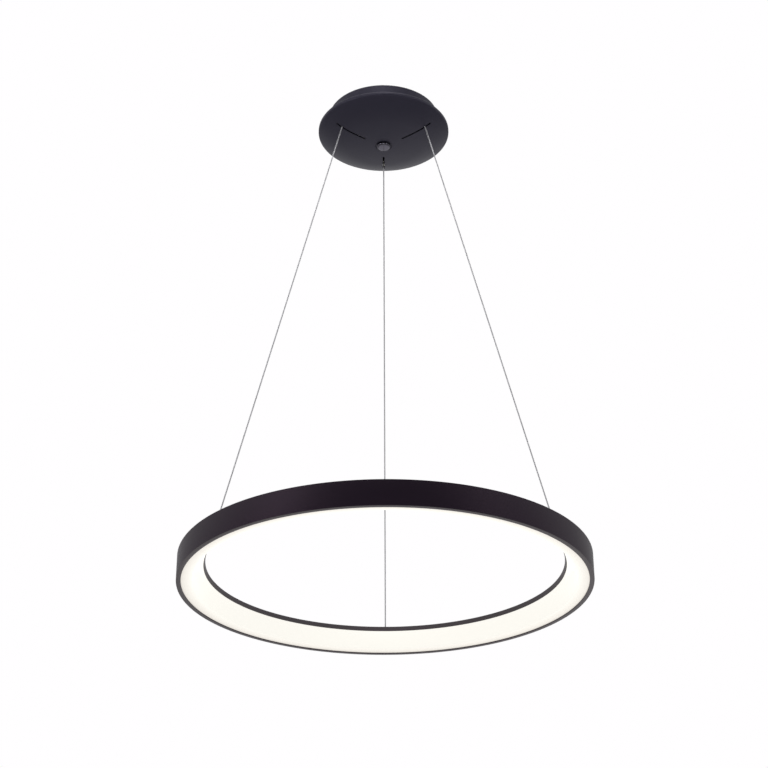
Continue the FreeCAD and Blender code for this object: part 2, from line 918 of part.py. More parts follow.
def centre_pillar():
    """The hexagon pillar that the thumb screw goes up into."""
    length = pillar_end - plate_under
    prism = doc.addObject("Part::Prism", "pillar_hex")
    prism.Polygon = HEXAGON_SIDES
    bind(prism, "Circumradius", d.pillar_flats / round(math.sqrt(3), 9))
    bind(prism, "Height", -length)
    seat(prism, z=pillar_end)
    hole = doc.addObject("Part::Cylinder", "pillar_hole")
    bind(hole, "Radius", d.thread_radius + d.thread_gap)
    bind(hole, "Height", d.thread_depth + d.overrun)
    seat(hole, z=pillar_end - d.overrun)
    pillar = keep(doc.addObject("Part::Cut", "centre_pillar"), "centre_pillar")
    pillar.Base, pillar.Tool = prism, hole


def thumb_screw():
    """The round-headed screw under the cover, kept on it by a retaining washer."""
    seat_under = -d.seat_drop
    shank_top = seat_under + d.shank_length
    neck = seat_under - d.thumb_neck
    screw = revolve(
        new_body("thumb_screw"),
        [
            (ZERO, shank_top),
            (d.thread_radius, shank_top),
            (d.thread_radius, seat_under),
            (d.thumb_neck_radius, seat_under),
            (d.thumb_neck_radius, neck),
            (d.thumb_radius, neck),
            (d.thumb_radius, -d.thumb_bottom),
            (ZERO, -d.thumb_bottom),
        ],
    )
    fillet(screw, d.thumb_round, ring_edge(d.thumb_radius, -d.thumb_bottom))
    washer_under = seat_under + d.cover_sheet
    revolve(
        new_body("screw_retainer"),
        [
            (d.thread_radius, washer_under),
            (d.retainer_radius, washer_under),
            (d.retainer_radius, washer_under + d.retainer_thickness),
            (d.thread_radius, washer_under + d.retainer_thickness),
        ],
    )


def canopy_cover():
    """The spun dish: a shallow dome, a rolled rim and a flange that turns in round the pan."""
    t = d.cover_sheet
    break_r, break_z = d.dome_break_radius, -d.dome_break_drop
    rise = d.dome_bottom_drop - d.dome_break_drop
    # The middle of the dome is one arc, level at the centre.
    inner_arc = (break_r * break_r + rise * rise) / (rise * 2)
    centre_z = inner_arc - d.dome_bottom_drop
    # The outer arc leaves the break in the same direction and ends at the rim.
    rim_r, rim_z = cover_radius, -d.cover_rim_bottom
    across, up = rim_r - break_r, rim_z - break_z
    lean = (up * (centre_z - break_z) - across * break_r) / inner_arc
    outer_arc = (across * across + up * up) / (lean * 2)
    outer_r = break_r - break_r * outer_arc / inner_arc
    outer_z = break_z + (centre_z - break_z) * outer_arc / inner_arc

    def dome_level(radius, thickness):
        arc = inner_arc - thickness
        return centre_z - root(arc * arc - radius * radius)

    def rim_level(radius, thickness):
        arc = outer_arc - thickness
        return outer_z - root(arc * arc - (radius - outer_r) * (radius - outer_r))

    flange_r = d.plate_radius + d.cover_play
    hole = d.thread_radius + d.slide_gap + d.slide_gap
    seat_z = -d.seat_drop
    inner_break_r = break_r - break_r * t / inner_arc
    inner_break_z = break_z + (centre_z - break_z) * t / inner_arc
    cover = revolve(
        new_body("canopy_cover"),
        [
            (hole, seat_z),
            (d.seat_radius, seat_z),
            (d.seat_radius + t, dome_level(d.seat_radius + t, ZERO), inner_arc, True),
            (break_r, break_z, outer_arc, True),
            (rim_r, rim_z),
            (rim_r, -d.cover_rim_top),
            (flange_r, -d.cover_flange_drop),
            (flange_r, -d.cover_flange_drop - t),
            (rim_r - t, -d.cover_rim_top - t),
            (rim_r - t, rim_level(rim_r - t, t), outer_arc - t, False),
            (inner_break_r, inner_break_z, inner_arc - t, False),
            (d.seat_radius + t, dome_level(d.seat_radius + t, t)),
            (d.seat_radius, seat_z + t),
            (hole, seat_z + t),
        ],
    )
    fillet(cover, d.cover_rim_round, ring_edge(rim_r, rim_z))
    fillet(cover, d.cover_rim_round, ring_edge(rim_r, -d.cover_rim_top))
    sketch = new_sketch(cover, "slot", "XY_Plane")
    half = d.slot_width / 2
    long_slot(sketch, d.slot_inner + half, gripper_circle + d.slot_reach - half, ZERO, half)
    slot = pocket(cover, sketch)
    turned = cover.newObject("PartDesign::PolarPattern", "canopy_slots")
    turned.Originals = [slot]
    turned.Axis = (sketch, ["N_Axis"])
    turned.Angle = FULL_TURN
    turned.Occurrences = len(WIRE_ANGLES)
    cover.Tip = turned
    doc.recompute()
    seat(cover, turn=WIRE_ANGLES[0])


def ring_profile():
    """The rolled profile: tall outer wall, bottom lip, top web and short leaning inner lip."""
    body = revolve(
        new_body("ring_profile"),
        [
            (d.ring_radius, ZERO),
            (d.ring_radius, d.ring_height),
            (d.ring_radius - d.ring_wall, d.ring_height),
            (d.ring_radius - d.ring_wall, web_top),
            (inner_radius, web_top),
            (lip_foot, web_top - d.inner_lip_height),
            (lip_foot + d.inner_lip_wall, web_top - d.inner_lip_height),
            (lip_foot + d.inner_lip_wall, web_under),
            (d.ring_radius - d.ring_wall, web_under),
            (d.ring_radius - d.ring_wall, d.lip_thickness),
            (d.ring_radius - d.lip_reach, d.lip_thickness),
            (d.ring_radius - d.lip_reach, ZERO),
        ],
        FULL_TURN - SEAM_GAP,
    )
    hole = d.anchor_shank_radius + d.bush_wall
    spots = []
    for angle in WIRE_ANGLES:
        x, y = on_circle(anchor_circle, angle - SEAM_ANGLE)
        spots.append((x, y, hole))
    pocket(body, circles(body, "anchor_holes", spots + splice_holes(0)))
    seat(body, z=ring_base, turn=SEAM_ANGLE)


def diffuser():
    """The opal cover: a nearly flat bottom face and a leaning inner face, snapped behind both lips."""
    t, gap = d.diffuser_wall, d.diffuser_gap
    corner_r = d.ring_radius - d.diffuser_corner_inset
    corner_z = d.diffuser_corner_rise
    outer_r = d.ring_radius - d.lip_reach - gap
    flange_r = d.ring_radius - d.ring_wall - gap
    low, flange_z = d.diffuser_recess, d.lip_thickness + gap
    top_z = web_top - d.inner_lip_height - gap
    leg_r = lip_foot + d.inner_lip_wall + gap
    body = revolve(
        new_body("diffuser"),
        [
            (corner_r, corner_z),
            (outer_r, low),
            (outer_r, flange_z),
            (flange_r, flange_z),
            (flange_r, flange_z + t),
            (outer_r - t, flange_z + t),
            (outer_r - t, low + t),
            (corner_r + t, corner_z + t),
            (leg_r + t, top_z - t),
            (leg_r + t, top_z + d.diffuser_snap),
            (leg_r, top_z + d.diffuser_snap),
            (leg_r, top_z),
            (lip_foot, top_z),
        ],
    )
    fillet(body, d.diffuser_corner_round, ring_edge(corner_r, corner_z))
    seat(body, z=ring_base)


board_radius = d.ring_radius - d.board_inset
board_under = web_under - d.board_thickness
BOARD_MIDDLES = (30, 150, 270)


def led_boards():
    """Three curved boards under the web, their chips, and the links across two of the gaps."""
    half = d.board_width / 2
    for number, middle in enumerate(BOARD_MIDDLES, start=1):
        board = revolve(
            new_body(f"led_board_{number}"),
            [
                (board_radius - half, board_under),
                (board_radius + half, board_under),
                (board_radius + half, web_under),
                (board_radius - half, web_under),
            ],
            BOARD_SWEEP,
        )
        seat(board, z=ring_base, turn=middle - BOARD_SWEEP / 2)
    chip = doc.addObject("Part::Box", "led_chip_seed")
    bind(chip, "Length", d.chip_width)
    bind(chip, "Width", d.chip_length)
    bind(chip, "Height", d.chip_height)
    seat(chip, -d.chip_width / 2, -d.chip_length / 2, -d.chip_height)
    link = doc.addObject("Part::Box", "board_link_seed")
    bind(link, "Length", d.link_width)
    bind(link, "Width", d.link_length)
    bind(link, "Height", d.link_height)
    seat(link, -d.link_width / 2, -d.link_length / 2, -d.link_height)
    doc.recompute()
    level = ring_base + board_under
    pitch = BOARD_SWEEP / BOARD_CHIP_COUNT
    chips = []
    for middle in BOARD_MIDDLES:
        for count in range(BOARD_CHIP_COUNT):
            angle = middle - BOARD_SWEEP / 2 + pitch * (count + 0.5)
            chips.append(spot(*on_circle(board_radius, angle), level, angle))
    copies("led_chips", chip, chips)
    links = []
    for angle in LINK_ANGLES:
        links.append(spot(*on_circle(board_radius, angle), level, angle))
    copies("board_links", link, links)


LINK_ANGLES = (210, 330)


splice_sweep = math.degrees(plain(d.splice_length) / plain(d.ring_radius))
splice_middle = d.ring_radius - d.ring_wall - d.diffuser_gap - d.splice_width / 2


def splice_holes(middle_angle):
    """The splice's four screw holes, with the seam at the given angle."""
    holes = []
    for turn in (-1, 1):
        for side in (-1, 1):
            radius = splice_middle + d.splice_width * side / 4
            x, y = on_circle(radius, middle_angle + turn * splice_sweep / 4)
            holes.append((x, y, d.splice_screw_radius))
    return holes


def splice():
    """The plate in the ring's top tray that joins the two ends of the rolled profile."""
    sweep = splice_sweep
    middle = splice_middle
    half = d.splice_width / 2
    plate = revolve(
        new_body("splice_plate"),
        [
            (middle - half, web_top),
            (middle + half, web_top),
            (middle + half, web_top + d.splice_thickness),
            (middle - half, web_top + d.splice_thickness),
        ],
        sweep,
    )
    seat(plate, z=ring_base, turn=SEAM_ANGLE - sweep / 2)
    pocket(plate, circles(plate, "screw_holes", splice_holes(splice_sweep / 2)))
    grip = d.splice_thickness + d.web_thickness
    screw = revolve(
        pattern("splice_screw"),
        [
            (ZERO, d.splice_head_height),
            (d.splice_head_radius, d.splice_head_height),
            (d.splice_head_radius, ZERO),
            (d.splice_screw_radius, ZERO),
            (d.splice_screw_radius, -grip),
            (ZERO, -grip),
        ],
    )
    level = ring_base + web_top + d.splice_thickness
    holes = splice_holes(SEAM_ANGLE)
    copies("splice_screws", screw, [spot(x, y, level) for x, y, _ in holes])


def ring_anchors():
    """What holds each wire on the ring: bush, hollow anchor, nut and the wire's own ferrule."""
    shank_end = -d.anchor_shank_length
    pocket_top = shank_end + d.ferrule_length
    anchor_seat = ring_base + web_top + d.bush_flange
    for number, angle in enumerate(WIRE_ANGLES, start=1):
        x, y = on_circle(anchor_circle, angle)
        anchor = revolve(
            new_body(f"wire_anchor_{number}"),
            [
                (d.anchor_bore_radius, d.anchor_head_height),
                (d.anchor_head_radius, d.anchor_head_height),
                (d.anchor_head_radius, ZERO),
                (d.anchor_shank_radius, ZERO),
                (d.anchor_shank_radius, shank_end),
                (d.anchor_pocket_radius, shank_end),
                (d.anchor_pocket_radius, pocket_top),
                (d.anchor_bore_radius, pocket_top),
            ],
        )
        fillet(
            anchor,
            d.anchor_head_height / 3,
            ring_edge(d.anchor_head_radius, d.anchor_head_height),
        )
        seat(anchor, x, y, anchor_seat, angle)
        ferrule = doc.addObject("Part::Cylinder", f"wire_ferrule_{number}")
        keep(ferrule, f"wire_ferrule_{number}")
        bind(ferrule, "Radius", d.ferrule_radius)
        bind(ferrule, "Height", d.ferrule_length)
        seat(ferrule, x, y, anchor_seat + shank_end)
    bore, sleeve = d.anchor_shank_radius, d.anchor_shank_radius + d.bush_wall
    bush = revolve(
        pattern("anchor_bush"),
        [
            (bore, d.bush_flange),
            (d.bush_flange_radius, d.bush_flange),
            (d.bush_flange_radius, ZERO),
            (sleeve, ZERO),
            (sleeve, -d.web_thickness),
            (bore, -d.web_thickness),
        ],
    )
    nut = hex_ring("anchor", d.nut_flats, d.nut_height, d.anchor_shank_radius)
    at_anchors = [on_circle(anchor_circle, angle) for angle in WIRE_ANGLES]
    top, under = ring_base + web_top, ring_base + web_under
    copies("anchor_bushes", bush, [spot(x, y, top) for x, y in at_anchors])
    washer = revolve(
        pattern("anchor_washer"),
        [
            (bore, ZERO),
            (d.anchor_washer_radius, ZERO),
            (d.anchor_washer_radius, -d.bush_flange),
            (bore, -d.bush_flange),
        ],
    )
    copies("anchor_washers", washer, [spot(x, y, under) for x, y in at_anchors])
    under -= d.bush_flange
    seed = lug("anchor_lug", d.anchor_shank_radius)
    lugs = []
    for angle, turn in BOARD_FEEDS:
        x, y = on_circle(anchor_circle, angle)
        lugs.append(spot(x, y, under - d.lug_thickness, turn))
    copies("anchor_lugs", seed, lugs)
    nuts = []
    for number, (x, y) in enumerate(at_anchors):
        level = under if number == 0 else under - d.lug_thickness
        nuts.append(spot(x, y, level))
    copies("anchor_nuts", nut, nuts)


# The two live anchors feed the board between them: wire angle, turn of the lug's tab.
BOARD_FEEDS = ((210, 210), (330, 150))


def ring_leads():
    """A short lead from each live anchor's lug to the near end of the board between them."""
    level = plain(ring_base + web_under - d.bush_flange - d.lug_thickness / 2)
    edge = plain(board_radius - d.board_width / 2 - d.lead_end_gap)
    tubes = []
    for angle, turn in BOARD_FEEDS:
        x, y = on_circle(anchor_circle, angle)
        along = Rotation(Vector(0, 0, 1), turn).multVec(Vector(0, 1, 0))
        start = Vector(plain(x), plain(y), level) + along * plain(d.lug_reach)
        second = start + along * plain(d.lead_reach)
        outward = Vector(second.x, second.y, 0).normalize()
        ahead = (outward + along).normalize()
        gap = edge - Vector(second.x, second.y, 0).Length
        third = second + ahead * gap
        end = third + outward * (edge - Vector(third.x, third.y, 0).Length)
        points = [start, second, end]
        tubes.append(
            tube_along(points, plain(d.lead_radius), easy_bends(points), "ring lead")
        )
    solid_piece("ring_leads", Part.makeCompound(tubes))


def suspension_wires():
    """Each wire: ferrule, anchor, one straight run, gripper, and the cut tail in the canopy."""
    ferrule_top = ring_base + web_top + d.bush_flange - d.anchor_shank_length + d.ferrule_length
    tail_level = plain(plate_under - d.wire_tail_gap)
    bend, tail_bend = plain(d.wire_bend), plain(d.wire_tail_bend)
    for number, angle in enumerate(WIRE_ANGLES, start=1):
        outward = Vector(math.cos(math.radians(angle)), math.sin(math.radians(angle)), 0)
        side = Vector(-outward.y, outward.x, 0) * (1 if number == 3 else -1)
        at_anchor = outward * plain(anchor_circle)
        at_gripper = outward * plain(gripper_circle)
        up = Vector(0, 0, 1)
        turn = at_gripper + up * tail_level + side * plain(d.wire_tail_run)
        tail_end = turn + (side - outward).normalize() * plain(d.wire_tail_end)
        points = [
            at_anchor + up * plain(ferrule_top),
            at_anchor + up * plain(ring_base + anchor_top),
            at_gripper + up * plain(mouth),
            at_gripper + up * tail_level,
            turn,
            tail_end,
        ]
        label = f"suspension_wire_{number}"
        bends = [bend, bend, tail_bend, tail_bend]
        solid_piece(label, tube_along(points, plain(d.wire_radius), bends, label))


def leads():
    """Internal leads that the canopy holds: mains, earth and low-voltage output."""
    radius = plain(d.lead_radius)
    up = Vector(0, 0, 1)
    lug_level = plain(washer_top + d.lug_thickness / 2)
    driver_side = plain(d.driver_length / 2)
    driver_middle = plain(driver_y)
    outputs = []
    for angle, turn in LIVE_WIRES:
        flip = 1 if angle == LIVE_WIRES[0][0] else -1
        x, y = on_circle(gripper_circle, angle)
        along = Rotation(up, turn).multVec(Vector(0, 1, 0))
        start = Vector(plain(x), plain(y), lug_level) + along * plain(d.lug_reach)
        second = start + along * plain(d.lead_reach)
        end = Vector(-flip * driver_side, driver_middle, lug_level)
        third = end - Vector(flip * plain(d.lead_reach), 0, 0)
        points = [start, second, third, end]
        outputs.append(tube_along(points, radius, easy_bends(points), "output lead"))
    solid_piece("output_leads", Part.makeCompound(outputs))

    block_edge = plain(d.block_y - d.block_width / 2)
    driver_edge = plain(driver_y + d.driver_width / 2)
    level = plain(plate_under - d.block_height / 2)
    mains = []
    for pole in (-1, 0):
        start = Vector(plain(d.block_x + d.pole_pitch * pole), block_edge, level)
        end = Vector(start.x + plain(d.pole_pitch), driver_edge, level)
        gap = start.y - end.y
        points = [
            start,
            start - Vector(0, gap * LEAD_BEND_SHARE, 0),
            end + Vector(0, gap * LEAD_BEND_SHARE, 0),
            end,
        ]
        mains.append(tube_along(points, radius, easy_bends(points), "mains lead"))
    solid_piece("mains_leads", Part.makeCompound(mains))

    start = Vector(plain(d.block_x + d.pole_pitch), block_edge, level)
    tab_end = plain(d.earth_x - d.lug_reach)
    lead_level = plain(plate_under - d.lead_radius - d.slide_gap)
    end = Vector(tab_end, plain(d.earth_y), lead_level)
    reach = plain(d.lead_reach)
    points = [
        start,
        start - Vector(0, start.y - end.y, 0),
        end - Vector(reach, 0, 0),
        end,
    ]
    tube = tube_along(points, radius, easy_bends(points), "earth lead")
    solid_piece("earth_lead", tube)


LEAD_BEND_SHARE = 0.3

mounting_plate()
cable_bush()
gripper_brackets()
for wire_number, wire_angle in enumerate(WIRE_ANGLES, start=1):
    gripper(wire_number, wire_angle)
gripper_fittings()
lead_lugs()
earth_screw()
led_driver()
terminal_block()
centre_pillar()
thumb_screw()
canopy_cover()
ring_profile()
diffuser()
led_boards()
splice()
ring_anchors()
ring_leads()
suspension_wires()
leads()
doc.recompute()

for thing in doc.Objects:
    if "Invalid" in thing.State or "Error" in thing.State:
        raise RuntimeError(f"{thing.Label} is {thing.State}")
for piece in pieces:
    if piece.Shape.isNull() or not piece.Shape.isValid() or not piece.Shape.Solids:
        raise RuntimeError(f"{piece.Label} has no valid solid")

os.makedirs("parts", exist_ok=True)
for piece in pieces:
    piece.Shape.exportStep(f"parts/{piece.Label}.step")
print(f"{len(pieces)} pieces written")
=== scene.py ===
# %% [markdown]
# # A ring pendant light
# A level ring with an opal inner face hangs on three steel wires from a round canopy.
# The CAD model gives every size and place. This script gives each visible surface its
# finish, and makes the large round forms again as smooth surfaces.

# %% Load the frame
import json
from math import cos, pi, radians, sin

import bmesh
import bpy
import numpy as np
from mathutils import Matrix, Vector

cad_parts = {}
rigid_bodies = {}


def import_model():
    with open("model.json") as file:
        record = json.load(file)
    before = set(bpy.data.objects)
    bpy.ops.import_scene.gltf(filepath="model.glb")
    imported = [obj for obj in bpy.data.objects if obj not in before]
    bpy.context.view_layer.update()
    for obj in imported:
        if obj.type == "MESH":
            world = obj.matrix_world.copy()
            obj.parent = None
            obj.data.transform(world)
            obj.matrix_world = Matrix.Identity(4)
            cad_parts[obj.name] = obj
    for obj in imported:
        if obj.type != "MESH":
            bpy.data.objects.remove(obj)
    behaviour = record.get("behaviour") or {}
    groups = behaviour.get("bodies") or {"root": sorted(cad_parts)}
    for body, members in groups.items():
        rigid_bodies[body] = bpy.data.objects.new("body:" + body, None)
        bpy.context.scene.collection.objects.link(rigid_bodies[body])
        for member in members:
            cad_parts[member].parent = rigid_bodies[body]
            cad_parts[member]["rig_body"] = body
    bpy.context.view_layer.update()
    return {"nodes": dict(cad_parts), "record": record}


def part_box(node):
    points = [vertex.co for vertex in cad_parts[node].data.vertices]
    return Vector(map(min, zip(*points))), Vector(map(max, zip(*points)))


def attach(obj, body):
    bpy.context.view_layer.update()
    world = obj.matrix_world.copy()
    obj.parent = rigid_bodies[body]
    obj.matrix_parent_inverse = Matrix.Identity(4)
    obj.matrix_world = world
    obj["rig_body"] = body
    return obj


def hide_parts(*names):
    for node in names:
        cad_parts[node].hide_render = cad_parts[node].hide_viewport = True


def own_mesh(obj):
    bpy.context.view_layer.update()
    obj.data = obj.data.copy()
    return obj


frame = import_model()
MM = 0.001

# %% [markdown]
# ## Sizes from the frame
# Three boxes give the ring, the plate and the cover. A wall's thickness can't be read from
# a box, so the few that are needed are written in millimetres, as on a drawing.

# %% Sizes
ring_low, ring_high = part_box("ring_profile")
RING_RADIUS = ring_high.x
RING_BASE = ring_low.z
RING_TOP = ring_high.z
PLATE_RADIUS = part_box("mounting_plate")[1].x
COVER_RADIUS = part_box("canopy_cover")[1].y
WIRE_ANGLES = np.radians([90, 210, 330])
print("ring radius", round(RING_RADIUS, 4), "cover radius", round(COVER_RADIUS, 4))

# %% [markdown]
# ## The camera
# The photograph looks up at the light from below the ring. Its place was worked out from
# the ring's two ellipses: 2.35 m away, 1.71 m under the ceiling, and tipped up by 27.4
# degrees, with a long lens. It could be set by eye, but a worked-out place puts every edge
# where it belongs. A small roll about the view shares out the slight tilts that the ring
# and the canopy have there.

# %% Camera
CAMERA_PLACE = (0.0, -2.3515, -1.7149)
CAMERA_PITCH = radians(27.38)
CAMERA_ROLL = radians(0.2)
CAMERA_YAW = radians(0.018)
CAMERA_LENS = 81.24  # millimetres on a 36 mm sensor
camera = bpy.data.objects.new("camera", bpy.data.cameras.new("camera"))
bpy.context.scene.collection.objects.link(camera)
camera.data.lens = CAMERA_LENS
camera.matrix_world = (
    Matrix.Translation(CAMERA_PLACE)
    @ Matrix.Rotation(CAMERA_YAW, 4, "Z")
    @ Matrix.Rotation(pi / 2 + CAMERA_PITCH, 4, "X")
    @ Matrix.Rotation(-CAMERA_ROLL, 4, "Z")
)
bpy.context.scene.camera = camera
print("camera at", CAMERA_PLACE, "with a lens of", CAMERA_LENS, "mm")

# %% [markdown]
# ## Helpers for surfaces
# Every new piece is a grid of points. On a turned piece the rows follow its section and
# the columns its turn, and on a wire the rows follow its path and the columns go round it.
# Modelling tools could make these shapes too, but here each size can be read off its name.
# One function welds the grid, points its faces outwards and makes soft edges smooth.

# %% A grid becomes a piece
WELD = 1e-7  # metres between points that count as one


def grid_faces(rows, columns, close_rows, close_columns):
    """Quads between neighbouring points of a grid; a closed side also joins last to first."""
    row = np.arange(rows if close_rows else rows - 1)[:, None]
    column = np.arange(columns if close_columns else columns - 1)[None, :]
    down, right = (row + 1) % rows, (column + 1) % columns
    corners = [
        row * columns + column,
        row * columns + right,
        down * columns + right,
        down * columns + column,
    ]
    return np.stack(np.broadcast_arrays(*corners), -1).reshape(-1, 4)


def piece(name, points, faces, material, body, nodes, crease=35):
    """A welded mesh object on a body. Edges that bend by less than the crease are smooth."""
    mesh = bpy.data.meshes.new(name)
    mesh.from_pydata(points.reshape(-1, 3).tolist(), [], faces.tolist())
    shell = bmesh.new()
    shell.from_mesh(mesh)
    bmesh.ops.remove_doubles(shell, verts=shell.verts, dist=WELD)
    bmesh.ops.recalc_face_normals(shell, faces=shell.faces)
    shell.to_mesh(mesh)
    shell.free()
    mesh.shade_smooth()
    mesh.set_sharp_from_angle(angle=radians(crease))
    mesh.materials.append(material)
    made = bpy.data.objects.new(name, mesh)
    bpy.context.scene.collection.objects.link(made)
    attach(made, body)
    if nodes:
        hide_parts(*nodes)
    print(f"{name}: {len(mesh.polygons)} faces")
    return made


print("a closed grid of 3 by 4 points has", len(grid_faces(3, 4, True, True)), "faces")

# %% [markdown]
# Most sections here are outlines with a round at each corner, and most pieces are turned. So
# one helper rounds an outline, and another turns it about the light's axis.

# %% Rounded outlines and turning
ARC_POINTS = 5


def rounded(corners):
    """A closed outline where each corner (x, y, radius) becomes an arc tangent to its sides.

    The arc starts radius * tan(half the turn) before the corner, and its points are the
    start point turned about the arc's centre in equal steps.
    """
    corners = np.array(corners, float)
    corner, radius = corners[:, :2], corners[:, 2]
    into = corner - np.roll(corner, 1, 0)
    into /= np.linalg.norm(into, axis=1)[:, None]
    out = np.roll(into, -1, 0)
    cross = into[:, 0] * out[:, 1] - into[:, 1] * out[:, 0]
    turn = np.arctan2(cross, (into * out).sum(1))
    start = corner - into * (radius * np.tan(abs(turn) / 2))[:, None]
    side = np.stack([-into[:, 1], into[:, 0]], 1) * (np.sign(turn) * radius)[:, None]
    angle = turn[:, None] * np.linspace(0, 1, ARC_POINTS)
    arm = -side[:, None, :]
    x = arm[..., 0] * np.cos(angle) - arm[..., 1] * np.sin(angle)
    y = arm[..., 0] * np.sin(angle) + arm[..., 1] * np.cos(angle)
    points = (start + side)[:, None, :] + np.stack([x, y], -1)
    points = points.reshape(-1, 2)
    apart = np.linalg.norm(points - np.roll(points, 1, 0), axis=1) > WELD
    return points[apart]


def lathe(section, columns):
    """Turns a section (radius, height) about Z: (radius cos a, radius sin a, height)."""
    angle = np.linspace(0, 2 * pi, columns, endpoint=False)
    radius, height = section[:, 0, None], section[:, 1, None]
    grid = [radius * np.cos(angle), radius * np.sin(angle), height + 0 * angle]
    return np.stack(grid, -1), grid_faces(len(section), columns, True, True)


square = rounded([(0, 0, 1), (4, 0, 1), (4, 4, 1), (0, 4, 1)])
print("a rounded square has", len(square), "points")

# %% [markdown]
# ## Helpers for materials
# A colour is written as the hex value that a paint shop or a web page would use, and one
# function turns it to the linear light that the shaders work in. Another adds a node, with
# its settings and links.


# %% Material helpers
def linear(hex_colour):
    """sRGB hex to linear RGBA: c / 12.92 below 0.04045, else ((c + 0.055) / 1.055) ** 2.4."""
    c = np.array([int(hex_colour[i : i + 2], 16) for i in (1, 3, 5)]) / 255
    light = np.where(c <= 0.04045, c / 12.92, ((c + 0.055) / 1.055) ** 2.4)
    return (*light.tolist(), 1.0)


def new_material(name, **sockets):
    """A named Principled material with numbers or colours set on its own sockets."""
    material = bpy.data.materials.new(name)
    material.use_nodes = True
    shader = material.node_tree.nodes["Principled BSDF"]
    for socket, value in sockets.items():
        shader.inputs[socket.replace("_", " ")].default_value = value
    return material


def add(owner, kind, inputs=(), stops=None, **settings):
    """Adds a node to a material or a world.

    Inputs pair a socket with a value or with another node's output. Stops are a ramp's
    colours at rising positions from 0 to 1.
    """
    tree = owner.node_tree
    made = tree.nodes.new(kind)
    for name, value in settings.items():
        setattr(made, name, value)
    for socket, value in dict(inputs).items():
        if isinstance(value, bpy.types.NodeSocket):
            tree.links.new(value, made.inputs[socket])
        else:
            made.inputs[socket].default_value = value
    if stops:
        ramp = made.color_ramp.elements
        ramp.remove(ramp[1])
        for count, (position, colour) in enumerate(stops.items()):
            stop = ramp.new(position) if count else ramp[0]
            stop.position, stop.color = position, colour
    return made


def feed(material, socket, output):
    """Links a node's output to a socket of the material's shader."""
    shader = material.node_tree.nodes["Principled BSDF"]
    material.node_tree.links.new(output, shader.inputs[socket])


print("middle grey in linear light:", round(linear("#808080")[0], 3))

# %% [markdown]
# ## Black powder coat
# The ring is an aluminium profile with a baked powder coat. The powder melts into a skin
# with a fine grain of about half a millimetre, which breaks up reflections, and leaves a
# warm, slightly violet black. Such a grain could be real relief, but from the camera it is
# finer than a pixel, so it is a bump. Noise on Object coordinates gives it and a slow drift
# of tone, and the canopy's enamel is made by the same function.

# %% Powder coat
POWDER_GRAIN = 0.6 * MM
POWDER_DRIFT = 111 * MM
GRAIN_HEIGHT = 0.1 * MM
GRAIN_STRENGTH = 0.12


def powder_coat(name, dark, light, sheen, sheen_level, roughness, **sockets):
    """A painted skin: slow drift between two tones, a tinted sheen and a fine bump."""
    material = new_material(
        name,
        Roughness=roughness,
        Specular_IOR_Level=sheen_level,
        Specular_Tint=linear(sheen),
        **sockets,
    )
    place = add(material, "ShaderNodeTexCoord").outputs["Object"]
    drift = add(
        material,
        "ShaderNodeTexNoise",
        {"Vector": place, "Scale": 1 / POWDER_DRIFT, "Detail": 3.0},
    )
    tone = add(
        material,
        "ShaderNodeValToRGB",
        {"Fac": drift.outputs["Fac"]},
        stops={0.0: linear(dark), 1.0: linear(light)},
    )
    feed(material, "Base Color", tone.outputs["Color"])
    grain = add(
        material,
        "ShaderNodeTexNoise",
        {"Vector": place, "Scale": 1 / POWDER_GRAIN, "Detail": 2.0},
    )
    bump = add(
        material,
        "ShaderNodeBump",
        {"Height": grain.outputs["Fac"], "Strength": GRAIN_STRENGTH, "Distance": GRAIN_HEIGHT},
    )
    feed(material, "Normal", bump.outputs["Normal"])
    print("painted:", name)
    return material


# Dark and light tone, the sheen's tint and level, and the roughness.
RING_COAT = ("#130d17", "#18111b", "#ffd8fa", 0.27, 0.5)
ring_paint = powder_coat("black_powder_coated_aluminium", *RING_COAT)

# %% [markdown]
# ## The ring's profile
# The real profile is extruded straight and then rolled into a circle. Its section is a
# tall outer wall with a short lip at the bottom, a web near the top and a small lip
# inside that leans out towards its foot. A Screw modifier could turn that outline. Turning
# it as an array gives the finished mesh at once, and small rounds on each corner catch the
# light as the coated edges do.

# %% Ring profile
RING_WALL = 1.8 * MM
LIP_REACH = 6.8 * MM
LIP_THICKNESS = 1.5 * MM
TRAY_DEPTH = 4.1 * MM
WEB = 1.8 * MM
RING_WIDTH = 40.8 * MM
INNER_LIP = 6.2 * MM
INNER_LEAN = 2.5 * MM
EDGE_ROUND = 0.35 * MM
RING_COLUMNS = 720
web_top = RING_TOP - TRAY_DEPTH
web_under = web_top - WEB
inner_radius = RING_RADIUS - RING_WIDTH
lip_low = web_top - INNER_LIP
wall_inside = RING_RADIUS - RING_WALL
lip_inside = RING_RADIUS - LIP_REACH
lip_foot = inner_radius + INNER_LEAN
inner_lip_back = lip_foot + RING_WALL
ring_section = rounded(
    [
        (RING_RADIUS, RING_BASE, EDGE_ROUND),
        (RING_RADIUS, RING_TOP, EDGE_ROUND),
        (wall_inside, RING_TOP, EDGE_ROUND),
        (wall_inside, web_top, EDGE_ROUND),
        (inner_radius, web_top, EDGE_ROUND),
        (lip_foot, lip_low, EDGE_ROUND),
        (inner_lip_back, lip_low, EDGE_ROUND),
        (inner_lip_back, web_under, EDGE_ROUND),
        (wall_inside, web_under, EDGE_ROUND),
        (wall_inside, RING_BASE + LIP_THICKNESS, EDGE_ROUND),
        (lip_inside, RING_BASE + LIP_THICKNESS, EDGE_ROUND),
        (lip_inside, RING_BASE, EDGE_ROUND),
    ]
)
points, faces = lathe(ring_section, RING_COLUMNS)
ring_shell = piece(
    "ring_shell", points, faces, ring_paint, "ring", ["ring_profile"]
)

